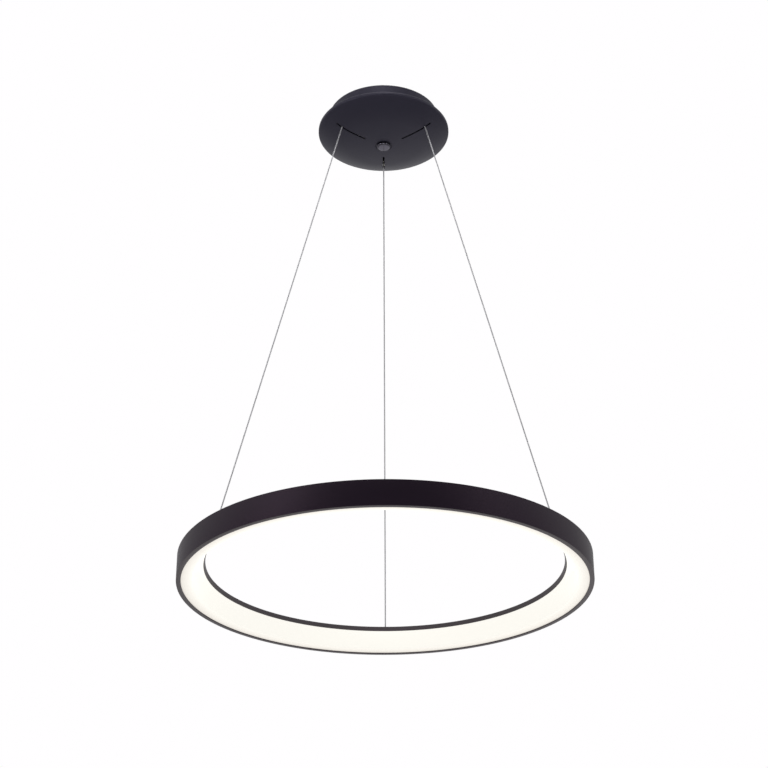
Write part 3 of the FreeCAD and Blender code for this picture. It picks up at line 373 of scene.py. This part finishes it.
# %% [markdown]
# The two lips beside the diffuser have the same coat, but the lit acrylic next to them
# spills some of its light on them, all the way round. A lamp for that would also lighten
# the acrylic, so the lips' faces get a second material, which is the same paint with a
# faint warm glow.

# %% Lips beside the diffuser
SPILL = 0.042
lip_paint = powder_coat(
    "powder_coat_beside_the_light",
    *RING_COAT,
    Emission_Color=linear("#fffaf5"),
    Emission_Strength=SPILL,
)
ring_polygons = ring_shell.data.polygons
centres = np.empty(len(ring_polygons) * 3)
ring_polygons.foreach_get("center", centres)
x, y, z = centres.reshape(-1, 3).T
inner_face = (np.hypot(x, y) < inner_lip_back) & (z < web_top - EDGE_ROUND)
bottom_face = z < RING_BASE + EDGE_ROUND / 2
beside_light = (inner_face | bottom_face).astype(np.int32)
ring_shell.data.materials.append(lip_paint)
ring_polygons.foreach_set("material_index", beside_light)
print("faces beside the light:", int(beside_light.sum()))

# %% [markdown]
# ## Opal acrylic
# The diffuser is extruded acrylic with white pigment, lit from behind by the LED boards.
# It glows a warm white, brightest on the leaning inner face, and falls off towards the
# outer lip, where the profile shades it. Lamps behind a milky wall would be the real way,
# but they render slowly and with noise. So the glow is an emission colour that depends on
# the distance from the ring's axis.

# %% Opal material
CORNER_INSET = 23.2 * MM
face_corner = RING_RADIUS - CORNER_INSET
# From the diffuser's corner (0) across its bottom face to the outer lip (1).
GLOW = {0.0: "#fdfbf4", 0.32: "#f6f2ea", 0.8: "#eae5dd", 1.0: "#ddd7cf"}
GLOW_STRENGTH = 0.8
opal = new_material(
    "lit_opal_acrylic",
    Base_Color=linear("#908d87"),
    Roughness=0.38,
    IOR=1.49,
    Emission_Strength=GLOW_STRENGTH,
)
place = add(opal, "ShaderNodeTexCoord").outputs["Object"]
flat = add(opal, "ShaderNodeVectorMath", {0: place, 1: (1, 1, 0)}, operation="MULTIPLY")
reach = add(opal, "ShaderNodeVectorMath", {0: flat.outputs[0]}, operation="LENGTH")
across = add(
    opal,
    "ShaderNodeMapRange",
    {"Value": reach.outputs["Value"], "From Min": face_corner, "From Max": lip_inside},
)
glow = add(
    opal,
    "ShaderNodeValToRGB",
    {"Fac": across.outputs["Result"]},
    stops={position: linear(colour) for position, colour in GLOW.items()},
)
feed(opal, "Emission Color", glow.outputs["Color"])
print("the glow falls off over", round((lip_inside - face_corner) / MM, 1), "mm")

# %% [markdown]
# ## The diffuser
# Its section snaps behind the bottom lip at one end and behind the inner lip at the
# other. Between them it has a nearly flat bottom face and a face that leans inwards. It is
# extruded and rolled with the profile, so it is turned about the same axis.

# %% Diffuser
ACRYLIC = 2.0 * MM
FIT = 0.2 * MM
RECESS = 1.2 * MM
CORNER_RISE = 2.9 * MM
CORNER_ROUND = 3.0 * MM
SNAP = 1.9 * MM
diffuser_edge = lip_inside - FIT
flange_edge = wall_inside - FIT
flange_z = RING_BASE + LIP_THICKNESS + FIT
corner_z = RING_BASE + CORNER_RISE
face_top = lip_low - FIT
leg = inner_lip_back + FIT
diffuser_section = rounded(
    [
        (face_corner, corner_z, CORNER_ROUND),
        (diffuser_edge, RING_BASE + RECESS, EDGE_ROUND),
        (diffuser_edge, flange_z, 0),
        (flange_edge, flange_z, 0),
        (flange_edge, flange_z + ACRYLIC, 0),
        (diffuser_edge - ACRYLIC, flange_z + ACRYLIC, 0),
        (diffuser_edge - ACRYLIC, RING_BASE + RECESS + ACRYLIC, 0),
        (face_corner + ACRYLIC, corner_z + ACRYLIC, 0),
        (leg + ACRYLIC, face_top - ACRYLIC, 0),
        (leg + ACRYLIC, face_top + SNAP, 0),
        (leg, face_top + SNAP, 0),
        (leg, face_top, 0),
        (lip_foot, face_top, EDGE_ROUND),
    ]
)
points, faces = lathe(diffuser_section, RING_COLUMNS)
piece("diffuser_shell", points, faces, opal, "ring", ["diffuser"])

# %% [markdown]
# ## The canopy cover
# A flat steel disc is spun over a former into a shallow dish, its rim is rolled, and
# three slots are punched for the wires. The dish is a surface of two arcs that meet with
# the same slope: a flat one in the middle and a tighter one from the break to the rim.

# %% Cover section
COVER_SHEET = 1.2 * MM
BREAK_RADIUS = 60.0 * MM
BREAK_Z = -50.6 * MM
DOME_BOTTOM = -55.8 * MM
RIM_TOP = -26.0 * MM
RIM_BOTTOM = -32.4 * MM
# An arc over a chord: (half the chord ** 2 + rise ** 2) / (2 * rise).
dome_rise = BREAK_Z - DOME_BOTTOM
inner_arc = (BREAK_RADIUS**2 + dome_rise**2) / (2 * dome_rise)
arc_centre = inner_arc + DOME_BOTTOM
# The tighter arc's centre lies on the line from the break to the flat arc's centre. Across
# and up lead from the break to the rim, and lean is how far they go along that line.
rim_across, rim_up = COVER_RADIUS - BREAK_RADIUS, RIM_BOTTOM - BREAK_Z
lean = (rim_up * (arc_centre - BREAK_Z) - rim_across * BREAK_RADIUS) / inner_arc
outer_arc = (rim_across**2 + rim_up**2) / (2 * lean)
outer_centre_r = BREAK_RADIUS * (1 - outer_arc / inner_arc)
outer_centre_z = BREAK_Z + (arc_centre - BREAK_Z) * outer_arc / inner_arc


def dome_z(radius, inset):
    """Height of the dish: one arc to the break, a tighter one that is tangent to it after.

    Each height is the arc's centre less sqrt(arc radius ** 2 - distance ** 2), and the
    inside of the sheet has both arcs smaller by the inset.
    """
    break_here = BREAK_RADIUS * (1 - inset / inner_arc)
    middle = arc_centre - np.sqrt((inner_arc - inset) ** 2 - radius**2)
    drop = np.maximum((outer_arc - inset) ** 2 - (radius - outer_centre_r) ** 2, 0)
    return np.where(radius < break_here, middle, outer_centre_z - np.sqrt(drop))


print(f"dome arcs: {inner_arc / MM:.1f} mm and {outer_arc / MM:.1f} mm")

# %% [markdown]
# The outline goes out along the dish, round the rolled rim, in to the flange round the
# plate, back along the inside and down to the flat seat of the screw. It has close rows
# where the slots' round ends will be.

# %% Cover outline
RIM_ROUND = 2.4 * MM
FLANGE_TOP = -24.8 * MM
FLANGE_GAP = 1.1 * MM
FLANGE_ROUND = 0.3 * MM
SEAT_RADIUS = 13.0 * MM
SEAT_Z = -54.6 * MM
SCREW_HOLE = 3.2 * MM
DOME_MARGIN = 3.2 * MM
SLOT_INNER = 34.0 * MM
SLOT_MARGIN = 1.5 * MM
SLOT_HALF = 1.5 * MM
SEAT_ROWS, END_ROWS, SLOT_ROWS, EDGE_ROWS = 9, 7, 28, 12
slot_outer = PLATE_RADIUS - SLOT_MARGIN
flange_radius = PLATE_RADIUS + FLANGE_GAP
rim_inside = COVER_RADIUS - COVER_SHEET
slot_end = SLOT_HALF * (1 - np.cos(np.linspace(0, pi / 2, END_ROWS)))
# Rounding makes rows that fall together equal, and unique keeps one of them.
dome_rows = np.unique(
    np.concatenate(
        [
            np.linspace(SEAT_RADIUS + COVER_SHEET, SLOT_INNER, SEAT_ROWS),
            SLOT_INNER + slot_end,
            np.linspace(SLOT_INNER + SLOT_HALF, slot_outer - SLOT_HALF, SLOT_ROWS),
            slot_outer - slot_end,
            np.linspace(slot_outer, COVER_RADIUS - DOME_MARGIN, EDGE_ROWS),
        ]
    ).round(9)
)
outside = np.stack([dome_rows, dome_z(dome_rows, 0), 0 * dome_rows], 1)
inside = np.stack([dome_rows, dome_z(dome_rows, COVER_SHEET), 0 * dome_rows], 1)[::-1]
rim = [
    (COVER_RADIUS, RIM_BOTTOM, RIM_ROUND),
    (COVER_RADIUS, RIM_TOP, RIM_ROUND),
    (flange_radius, FLANGE_TOP, FLANGE_ROUND),
    (flange_radius, FLANGE_TOP - COVER_SHEET, FLANGE_ROUND),
    (rim_inside, RIM_TOP - COVER_SHEET, RIM_ROUND / 2),
    (rim_inside, float(dome_z(rim_inside, COVER_SHEET)), RIM_ROUND / 2),
]
seat = [
    (SEAT_RADIUS, SEAT_Z + COVER_SHEET, 0),
    (SCREW_HOLE, SEAT_Z + COVER_SHEET, 0),
    (SCREW_HOLE, SEAT_Z, 0),
    (SEAT_RADIUS, SEAT_Z, 0),
]
cover_section = rounded(np.concatenate([outside, rim, inside, seat]))
print("points in the cover's outline:", len(cover_section))

# %% [markdown]
# Each third of the dish, from slot to slot, is a grid of its own. Along a slot its columns
# keep half a slot's width from the slot's middle, and past the slot's round ends they meet
# the next third. A boolean could cut the slots, but it leaves thin faces that spoil the
# sheen of a curved sheet.

# %% Cover surface
SECTOR_COLUMNS = 97


def slot_half_width(radius):
    """Half a slot's width at a radius: full along it, and a half circle at each end."""
    past = np.maximum(SLOT_INNER + SLOT_HALF - radius, radius - slot_outer + SLOT_HALF)
    return np.sqrt(np.maximum(SLOT_HALF**2 - np.maximum(past, 0) ** 2, 0))


rows = len(cover_section)
radius, height = cover_section[:, 0, None, None], cover_section[:, 1, None, None]
half = np.arcsin(slot_half_width(radius) / radius)
share = np.linspace(0, 1, SECTOR_COLUMNS)[None, None, :]
angle = WIRE_ANGLES[None, :, None] + half + share * (2 * pi / len(WIRE_ANGLES) - 2 * half)
cover_grid = [radius * np.cos(angle), radius * np.sin(angle), height + 0 * angle]
cover_points = np.stack(cover_grid, -1).transpose(1, 0, 2, 3)
sheet = grid_faces(rows, SECTOR_COLUMNS, True, False)
# The slot's walls join each open row of the outside to the row above it on the inside.
open_rows = np.flatnonzero(slot_half_width(cover_section[:, 0]) > 0)
below, above = open_rows[: len(open_rows) // 2], open_rows[len(open_rows) // 2 :][::-1]
below = np.concatenate([[below[0] - 1], below, [below[-1] + 1]])
above = np.concatenate([[above[0] + 1], above, [above[-1] - 1]])
end_column = np.array([0, SECTOR_COLUMNS - 1])[:, None]
wall_corners = [below[:-1], below[1:], above[1:], above[:-1]]
walls = np.stack([row * SECTOR_COLUMNS + end_column for row in wall_corners], -1)
sector_faces = np.concatenate([sheet, walls.reshape(-1, 4)])
sectors = [sector_faces + k * rows * SECTOR_COLUMNS for k in range(len(WIRE_ANGLES))]
# Graphite enamel on steel: cooler and a little paler than the ring, with a soft sheen.
canopy_paint = powder_coat(
    "graphite_enamelled_steel", "#21202a", "#262530", "#e4dcff", 0.33, 0.5
)
piece(
    "cover_dish",
    cover_points,
    np.concatenate(sectors),
    canopy_paint,
    "cover",
    ["canopy_cover"],
    crease=30,
)

# %% [markdown]
# ## Small hardware finishes
# Pressed brackets are zinc plated, turned grippers and anchors are nickel plated brass,
# washers and bushes are nylon, and the boards have a white solder mask. Each finish gets
# its own faint texture at its real scale. One function makes them all, because they differ
# only in their tones, the size of their patches and how rough they are.

# %% Small finishes
PATCH_HEIGHT = 0.1 * MM
PATCH_STRENGTH = 0.08


def mottled(name, dark, light, patch_size, roughness, **sockets):
    """Two tones in patches of one size, with a roughness that follows the patches."""
    material = new_material(name, **sockets)
    place = add(material, "ShaderNodeTexCoord").outputs["Object"]
    patch = add(
        material,
        "ShaderNodeTexNoise",
        {"Vector": place, "Scale": 1 / patch_size, "Detail": 4.0},
    )
    tone = add(
        material,
        "ShaderNodeValToRGB",
        {"Fac": patch.outputs["Fac"]},
        stops={0.35: linear(dark), 0.65: linear(light)},
    )
    feed(material, "Base Color", tone.outputs["Color"])
    rough = add(
        material,
        "ShaderNodeMapRange",
        {"Value": patch.outputs["Fac"], "To Min": roughness[0], "To Max": roughness[1]},
    )
    feed(material, "Roughness", rough.outputs["Result"])
    bump = add(
        material,
        "ShaderNodeBump",
        {"Height": patch.outputs["Fac"], "Strength": PATCH_STRENGTH, "Distance": PATCH_HEIGHT},
    )
    feed(material, "Normal", bump.outputs["Normal"])
    return material


# Bright zinc on pressed steel: cool grey with faint crystal patches.
zinc = mottled(
    "zinc_plated_steel", "#a9adb0", "#c6c9cb", 2.5 * MM, (0.3, 0.45), Metallic=1.0
)
# Nickel on turned brass: a slightly warm, fairly sharp mirror with fine tool marks.
nickel = mottled(
    "nickel_plated_brass", "#b4b2ae", "#c6c4c0", 0.8 * MM, (0.16, 0.28), Metallic=1.0
)
# Steel cable under a clear coat: pale grey, because the coat scatters light on the strands.
cable = mottled(
    "clear_coated_steel_cable", "#a4a3a7", "#bab9bd", 0.9 * MM, (0.3, 0.45), Metallic=0.2
)
# Machined brass of the earth and terminal screws: yellow, with fine tool marks.
brass = mottled("machined_brass", "#b08d4a", "#c6a45e", 1.0 * MM, (0.25, 0.4), Metallic=1.0)
# Moulded nylon of bushes, washers, board links and terminal block: a waxy cream.
nylon = mottled("moulded_nylon", "#dedbd0", "#e8e5da", 1.5 * MM, (0.5, 0.6), IOR=1.53)
# Moulded rubber of the cable bush: a dull black.
rubber = mottled("moulded_rubber", "#19191a", "#232324", 0.7 * MM, (0.7, 0.85), IOR=1.52)
# Moulded polycarbonate of the driver: a cool white with a fine spark-eroded grain.
case_plastic = mottled(
    "white_polycarbonate", "#dcdddb", "#e6e7e5", 1.2 * MM, (0.45, 0.6), IOR=1.58
)
# Printed solder mask on the boards: a white film that shines a little.
board = mottled("white_solder_mask", "#e2e3de", "#ebece7", 0.9 * MM, (0.3, 0.45), IOR=1.5)
# Cast silicone with phosphor in the chips: a strong yellow when unlit.
phosphor = mottled("led_phosphor", "#e3c14f", "#f0d26a", 0.5 * MM, (0.3, 0.4), IOR=1.5)
# Extruded lead insulation: plain colours with a satin skin.
red_lead = mottled("red_silicone_lead", "#9b221c", "#ad2c24", 1.0 * MM, (0.45, 0.6))
brown_lead = mottled("brown_pvc_lead", "#4f3020", "#5d3a28", 1.0 * MM, (0.4, 0.5))
green_lead = mottled("green_pvc_lead", "#3f8a35", "#4d9a42", 1.0 * MM, (0.4, 0.5))
print("materials so far:", len(bpy.data.materials))

# %% [markdown]
# ## The thumb screw
# A turned and plated head with a softly rounded edge. A cylinder with a bevel would do for
# the head. One outline from the axis round the head, up the shank and back to the axis has
# its neck and tip as well, and is turned as it would be in a lathe.

# %% Thumb screw
SHANK_RADIUS = 3.0 * MM
SHANK_TIP = 0.5 * MM
NECK_RADIUS = 10.3 * MM
NECK = 0.5 * MM
HEAD_ROUND = 2.8 * MM
HEAD_EDGE = 0.3 * MM
THUMB_COLUMNS = 96
thumb_low, thumb_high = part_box("thumb_screw")
head_radius = thumb_high.x
thumb_section = rounded(
    [
        (0, thumb_low.z, 0),
        (head_radius, thumb_low.z, HEAD_ROUND),
        (head_radius, SEAT_Z - NECK, HEAD_EDGE),
        (NECK_RADIUS, SEAT_Z - NECK, 0),
        (NECK_RADIUS, SEAT_Z, 0),
        (SHANK_RADIUS, SEAT_Z, 0),
        (SHANK_RADIUS, thumb_high.z, SHANK_TIP),
        (0, thumb_high.z, 0),
    ]
)
points, faces = lathe(thumb_section, THUMB_COLUMNS)
# Black nickel over turned steel: a dark, slightly violet mirror with fine tool marks.
black_nickel = mottled(
    "black_nickel_plated_steel", "#4f4d56", "#5a5862", 0.6 * MM, (0.12, 0.18), Metallic=1.0
)
piece(
    "thumb_screw_turned",
    points,
    faces,
    black_nickel,
    "cover_screw",
    ["thumb_screw"],
)

# %% [markdown]
# ## The small parts
# Brackets, grippers, boards and screws could be made again as surfaces, but their CAD
# shapes are right, so each keeps its shape. A CAD node is a set of loose triangles, so a
# copy is welded and shaded smooth across its round faces. A real gripper's spring shortens
# when its plunger is pressed up against the gripper's shoulder; its copy here is only given
# a mesh of its own.


# %% Copies of CAD nodes
def node_arrays(node):
    """A node's points and triangles as arrays."""
    mesh = frame["nodes"][node].data
    points = np.empty(len(mesh.vertices) * 3)
    mesh.vertices.foreach_get("co", points)
    mesh.calc_loop_triangles()
    triangles = np.empty(len(mesh.loop_triangles) * 3, np.int64)
    mesh.loop_triangles.foreach_get("vertices", triangles)
    return points.reshape(-1, 3), triangles.reshape(-1, 3)


finish_of_slot = {
    "zinc": zinc,
    "nickel": nickel,
    "brass": brass,
    "nylon": nylon,
    "rubber": rubber,
    "driver_case": case_plastic,
    "circuit_board": board,
    "led_chip": phosphor,
    "red_lead": red_lead,
    "brown_lead": brown_lead,
    "green_lead": green_lead,
    "steel_wire": cable,
    "black_paint": canopy_paint,
}
slot_of_node = {entry["node"]: entry["material_slot"] for entry in frame["record"]["subparts"]}
for name, node in frame["nodes"].items():
    if node.hide_render or name.startswith("suspension_wire"):
        continue
    points, triangles = node_arrays(name)
    slot = slot_of_node[name]
    copy = piece(
        f"{name}_smooth", points, triangles, finish_of_slot[slot], node["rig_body"], [name]
    )
    if name.startswith("gripper_spring"):
        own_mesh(copy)

# %% [markdown]
# ## The suspension wires
# Each wire is a 2 mm cable of six strands round a core, pulled straight by the ring's
# weight. Its section has six low humps that turn once in every 9 mm, as the strands do. A
# curve with a round bevel is the usual way, but it can't have humps that turn. So a curve
# gives only the path, and the section is carried along it.

# %% Wire surface
WIRE_RADIUS = 1.0 * MM
WIRE_SIDES = 18
STRANDS = 6
LAY_LENGTH = 9.0 * MM
HUMP_SHARE = 0.05
ANY_DIRECTION = (0.3, 0.5, 0.81)  # parallel to no wire, so its cross product is never zero


def spline_points(name, route, resolution):
    """Points along a NURBS spline of order 3 that has the route as its control points."""
    curve = bpy.data.curves.new(name, "CURVE")
    curve.dimensions = "3D"
    spline = curve.splines.new("NURBS")
    spline.points.add(len(route) - 1)
    spline.points.foreach_set("co", np.c_[route, np.ones(len(route))].ravel())
    spline.order_u = 3
    spline.use_endpoint_u = True
    spline.resolution_u = resolution
    line = bpy.data.objects.new(name, curve)
    bpy.context.scene.collection.objects.link(line)
    bpy.context.view_layer.update()
    mesh = bpy.data.meshes.new_from_object(line)
    found = np.empty(len(mesh.vertices) * 3)
    mesh.vertices.foreach_get("co", found)
    bpy.data.objects.remove(line)
    return found.reshape(-1, 3)


def wire_tube(path):
    """A humped round section carried along a path, square to it and turning as it goes.

    Radius = wire radius * (1 - hump + hump * |cos(3 (side angle - twist))|), where the
    twist is 2 pi times the distance along the path over the lay length.
    """
    along = np.gradient(path, axis=0)
    along /= np.linalg.norm(along, axis=1)[:, None]
    run = np.concatenate([[0], np.cumsum(np.linalg.norm(np.diff(path, axis=0), axis=1))])
    level = np.cross(along[0], ANY_DIRECTION)
    first = level - along * (along @ level)[:, None]
    first /= np.linalg.norm(first, axis=1)[:, None]
    second = np.cross(along, first)
    angle = np.linspace(0, 2 * pi, WIRE_SIDES, endpoint=False)[None, :]
    twist = 2 * pi * run[:, None] / LAY_LENGTH
    hump = HUMP_SHARE * abs(np.cos(STRANDS / 2 * (angle - twist)))
    size = WIRE_RADIUS * (1 - HUMP_SHARE + hump)
    around = np.cos(angle)[..., None] * first[:, None] + np.sin(angle)[..., None] * second[:, None]
    rings = path[:, None] + size[..., None] * around
    centres = np.repeat(path[[0, -1], None], WIRE_SIDES, 1)
    return np.concatenate([centres[:1], rings, centres[1:]]), run[-1]


print("a strand turns once in", round(LAY_LENGTH / MM), "mm")

# %% [markdown]
# Below its gripper a wire shortens when the ring is raised, above it the cut tail stays in
# the canopy, and its end goes up and down with the ring's anchor. So each wire is made in
# three stretches, which overlap inside the gripper and inside the anchor. The points of a
# route are the places where the real wire is held or bent.

# %% Wire routes
GRIPPER_INSET = 13.5 * MM
ANCHOR_INSET = 28.0 * MM
INTO_GRIPPER = 4 * MM
INTO_RUN = 3 * MM
BEND_REACH = 8 * MM
TAIL_Z = -4.2 * MM
TAIL_BEND = 14.0 * MM
TAIL_SIDE = 20 * MM
TAIL_TIP = 16 * MM
gripper_circle = PLATE_RADIUS - GRIPPER_INSET
anchor_circle = RING_RADIUS - ANCHOR_INSET
anchor_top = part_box("wire_anchor_1")[1].z
ferrule_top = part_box("wire_ferrule_1")[1].z
plunger_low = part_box("release_plunger_1")[0].z


def wire_routes(number, wire_angle):
    """The mouth of a wire's gripper, and the routes of its run, its tail and its end.

    The run goes straight from the mouth to the anchor's top, and its slope is their
    difference over its length. The tail goes up through the gripper and turns aside under
    the plate, and the end goes down through the anchor.
    """
    up = np.array([0, 0, 1])
    outward = np.array([cos(wire_angle), sin(wire_angle), 0])
    # The third tail turns the other way round than the first two.
    side = np.array([-outward[1], outward[0], 0]) * (1 if number == 3 else -1)
    at_gripper, at_anchor = outward * gripper_circle, outward * anchor_circle
    mouth = at_gripper + up * plunger_low
    foot = at_anchor + up * anchor_top
    slope = (foot - mouth) / np.linalg.norm(foot - mouth)
    run_route = [
        mouth + up * INTO_GRIPPER,
        mouth,
        mouth + slope * BEND_REACH,
        foot - slope * BEND_REACH,
        foot,
    ]
    end_route = [foot - slope * INTO_RUN, foot, at_anchor + up * ferrule_top]
    bend = at_gripper + up * TAIL_Z + side * TAIL_SIDE
    tail_route = [
        mouth + up * INTO_GRIPPER,
        at_gripper + up * (TAIL_Z - 2 * TAIL_BEND),
        at_gripper + up * TAIL_Z,
        bend,
        bend + (side - outward) / np.sqrt(2) * TAIL_TIP,
    ]
    return mouth, run_route, tail_route, end_route


print("grippers on", round(gripper_circle, 4), "and anchors on", round(anchor_circle, 4))

# %% [markdown]
# The run and the tail stand for the CAD model's wire, and the end only carries it on inside
# the ring. The run is a taut, straight wire, and it is only given a mesh of its own.

# %% Wires
# How many points a stretch has between two of its route's control points.
RUN_POINTS, TAIL_POINTS, END_POINTS = 220, 40, 16
for number, wire_angle in enumerate(WIRE_ANGLES, start=1):
    mouth, run_route, tail_route, end_route = wire_routes(number, wire_angle)
    stood_for = [f"suspension_wire_{number}"]
    stretches = (
        ("run", run_route, RUN_POINTS, "canopy", stood_for),
        ("tail", tail_route, TAIL_POINTS, "canopy", stood_for),
        ("end", end_route, END_POINTS, "ring", []),
    )
    for stretch, route, resolution, body, nodes in stretches:
        name = f"wire_{stretch}_{number}"
        path = spline_points(name, np.array(route), resolution)
        points, length = wire_tube(path)
        faces = grid_faces(len(points), WIRE_SIDES, False, True)
        wire = piece(name, points, faces, cable, body, nodes, crease=60)
        print(f"  {length / MM:.0f} mm long")
        if stretch == "run":
            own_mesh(wire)

# %% [markdown]
# ## The floor
# The light hangs in a 2.4 m high room, so the pale floor lies that far below the ceiling
# face, under the camera. It is round, small enough to leave the white backdrop behind it to
# the reflections. The camera sees it paler than the room lights it, and its shadows stay.
# From below it is clear.

# %% Floor
ROOM_HEIGHT = 2.4
FLOOR_RADIUS = 6.5
FLOOR_SIDES = 120
FLOOR_LIFT = 0.42
floor_angle = np.linspace(0, 2 * pi, FLOOR_SIDES, endpoint=False)
floor_edge = np.c_[np.cos(floor_angle), np.sin(floor_angle), 0 * floor_angle] * FLOOR_RADIUS
floor_edge -= (0, 0, ROOM_HEIGHT)
floor_mesh = bpy.data.meshes.new("floor")
floor_mesh.from_pydata(floor_edge.tolist(), [], [range(FLOOR_SIDES)])
floor = bpy.data.objects.new("floor", floor_mesh)
bpy.context.scene.collection.objects.link(floor)
floor_paint = new_material(
    "pale_floor",
    Base_Color=linear("#f2f1ef"),
    Emission_Color=linear("#ffffff"),
    Roughness=0.9,
)
floor_mesh.materials.append(floor_paint)
eye = add(floor_paint, "ShaderNodeLightPath")
lift = add(
    floor_paint,
    "ShaderNodeMath",
    {0: eye.outputs["Is Camera Ray"], 1: FLOOR_LIFT},
    operation="MULTIPLY",
)
feed(floor_paint, "Emission Strength", lift.outputs[0])
facing = add(floor_paint, "ShaderNodeNewGeometry")
clear = add(floor_paint, "ShaderNodeBsdfTransparent")
floor_tree = floor_paint.node_tree
both_sides = add(
    floor_paint,
    "ShaderNodeMixShader",
    {
        0: facing.outputs["Backfacing"],
        1: floor_tree.nodes["Principled BSDF"].outputs[0],
        2: clear.outputs[0],
    },
)
floor_output = floor_tree.nodes["Material Output"]
floor_tree.links.new(both_sides.outputs[0], floor_output.inputs["Surface"])
print("floor radius:", FLOOR_RADIUS, "m")

# %% [markdown]
# ## The backdrop
# The camera and clear parts see plain white on every side. A reflection sees a studio that
# is white paper behind the light and fades to dark behind the camera, so that the black
# paint keeps its depth and its edges turn pale. A matt surface gets the light of an even
# grey room. Walls of paper and cloth could stand round the light, but a world shader that
# asks which ray looks gives each its own.

# %% Backdrop
# How bright the studio looks in a reflection, from straight behind the camera (0), past
# the sides (0.5), to the white paper behind the light (1).
STUDIO_LEVELS = {0.0: 0.03, 0.1: 0.03, 0.36: 0.45, 0.58: 1.0, 0.85: 0.6, 0.965: 1.0}
ROOM_LEVEL = 0.42
PAPER_WHITE = linear("#fffeff")
world = bpy.data.worlds.new("studio")
bpy.context.scene.world = world
world.use_nodes = True
direction = add(world, "ShaderNodeTexCoord").outputs["Generated"]
flattened = add(
    world, "ShaderNodeVectorMath", {0: direction, 1: (1, 1, 0)}, operation="MULTIPLY"
)
heading = add(world, "ShaderNodeVectorMath", {0: flattened.outputs[0]}, operation="NORMALIZE")
heading_parts = add(world, "ShaderNodeSeparateXYZ", {0: heading.outputs[0]})
turned = add(
    world, "ShaderNodeMapRange", {"Value": heading_parts.outputs["Y"], "From Min": -1.0}
)
studio_colour = add(
    world,
    "ShaderNodeValToRGB",
    {"Fac": turned.outputs["Result"]},
    stops={position: (level, level, level, 1.0) for position, level in STUDIO_LEVELS.items()},
)
studio = add(world, "ShaderNodeBackground", {"Color": studio_colour.outputs["Color"]})
room = add(world, "ShaderNodeBackground", {"Color": linear("#ffffff"), "Strength": ROOM_LEVEL})
paper = add(world, "ShaderNodeBackground", {"Color": PAPER_WHITE})
rays = add(world, "ShaderNodeLightPath")
lit = add(
    world,
    "ShaderNodeMixShader",
    {0: rays.outputs["Is Diffuse Ray"], 1: studio.outputs[0], 2: room.outputs[0]},
)
seen = add(
    world,
    "ShaderNodeMath",
    {0: rays.outputs["Is Camera Ray"], 1: rays.outputs["Is Transmission Ray"]},
    operation="MAXIMUM",
)
choice = add(
    world, "ShaderNodeMixShader", {0: seen.outputs[0], 1: lit.outputs[0], 2: paper.outputs[0]}
)
sky = world.node_tree
sky.links.new(choice.outputs[0], sky.nodes["World Output"].inputs["Surface"])
print("studio levels:", list(STUDIO_LEVELS.values()))

# %% [markdown]
# ## The lamps
# Tall strips to both sides draw the streaks on round metal. Two boxes in front fill the
# canopy from above and the ring from below, and one behind gives the dish its soft sheen.
# They are area lamps, because small ones would leave hard spots on the sheen.

# %% Lamps
# Name, place, the point that it faces, width and height in metres, and watts.
LAMPS = [
    ("left_strip", (-1.17, -0.94, 0), (0, 0, 0), (0.25, 1.9), 7.0),
    ("right_strip", (1.17, -0.94, 0), (0, 0, 0), (0.25, 1.9), 3.7),
    ("high_front_box", (0, -0.6, 0.9), (0, 0, -0.03), (0.7, 0.7), 6.9),
    ("low_front_box", (0, -2.8, -2.1), (0, 0, -0.5), (1.5, 1.5), 22),
    ("low_back_box", (0.6, 2.4, -1.9), (0, 0, -0.06), (2.4, 1.4), 7),
]
for name, place, target, size, power in LAMPS:
    lamp = bpy.data.lights.new(name, "AREA")
    lamp.shape = "RECTANGLE"
    lamp.size, lamp.size_y = size
    lamp.energy = power
    holder = bpy.data.objects.new(name, lamp)
    bpy.context.scene.collection.objects.link(holder)
    holder.location = place
    holder.rotation_mode = "QUATERNION"
    # A lamp shines along its own -Z, and its height stays upright.
    holder.rotation_quaternion = (Vector(target) - Vector(place)).to_track_quat("-Z", "Y")
print("lamps:", len(LAMPS))

# %% [markdown]
# ## Finish
# The plain view transform shows each colour about as it is written.

# %% Finish
bpy.context.scene.view_settings.view_transform = "Standard"
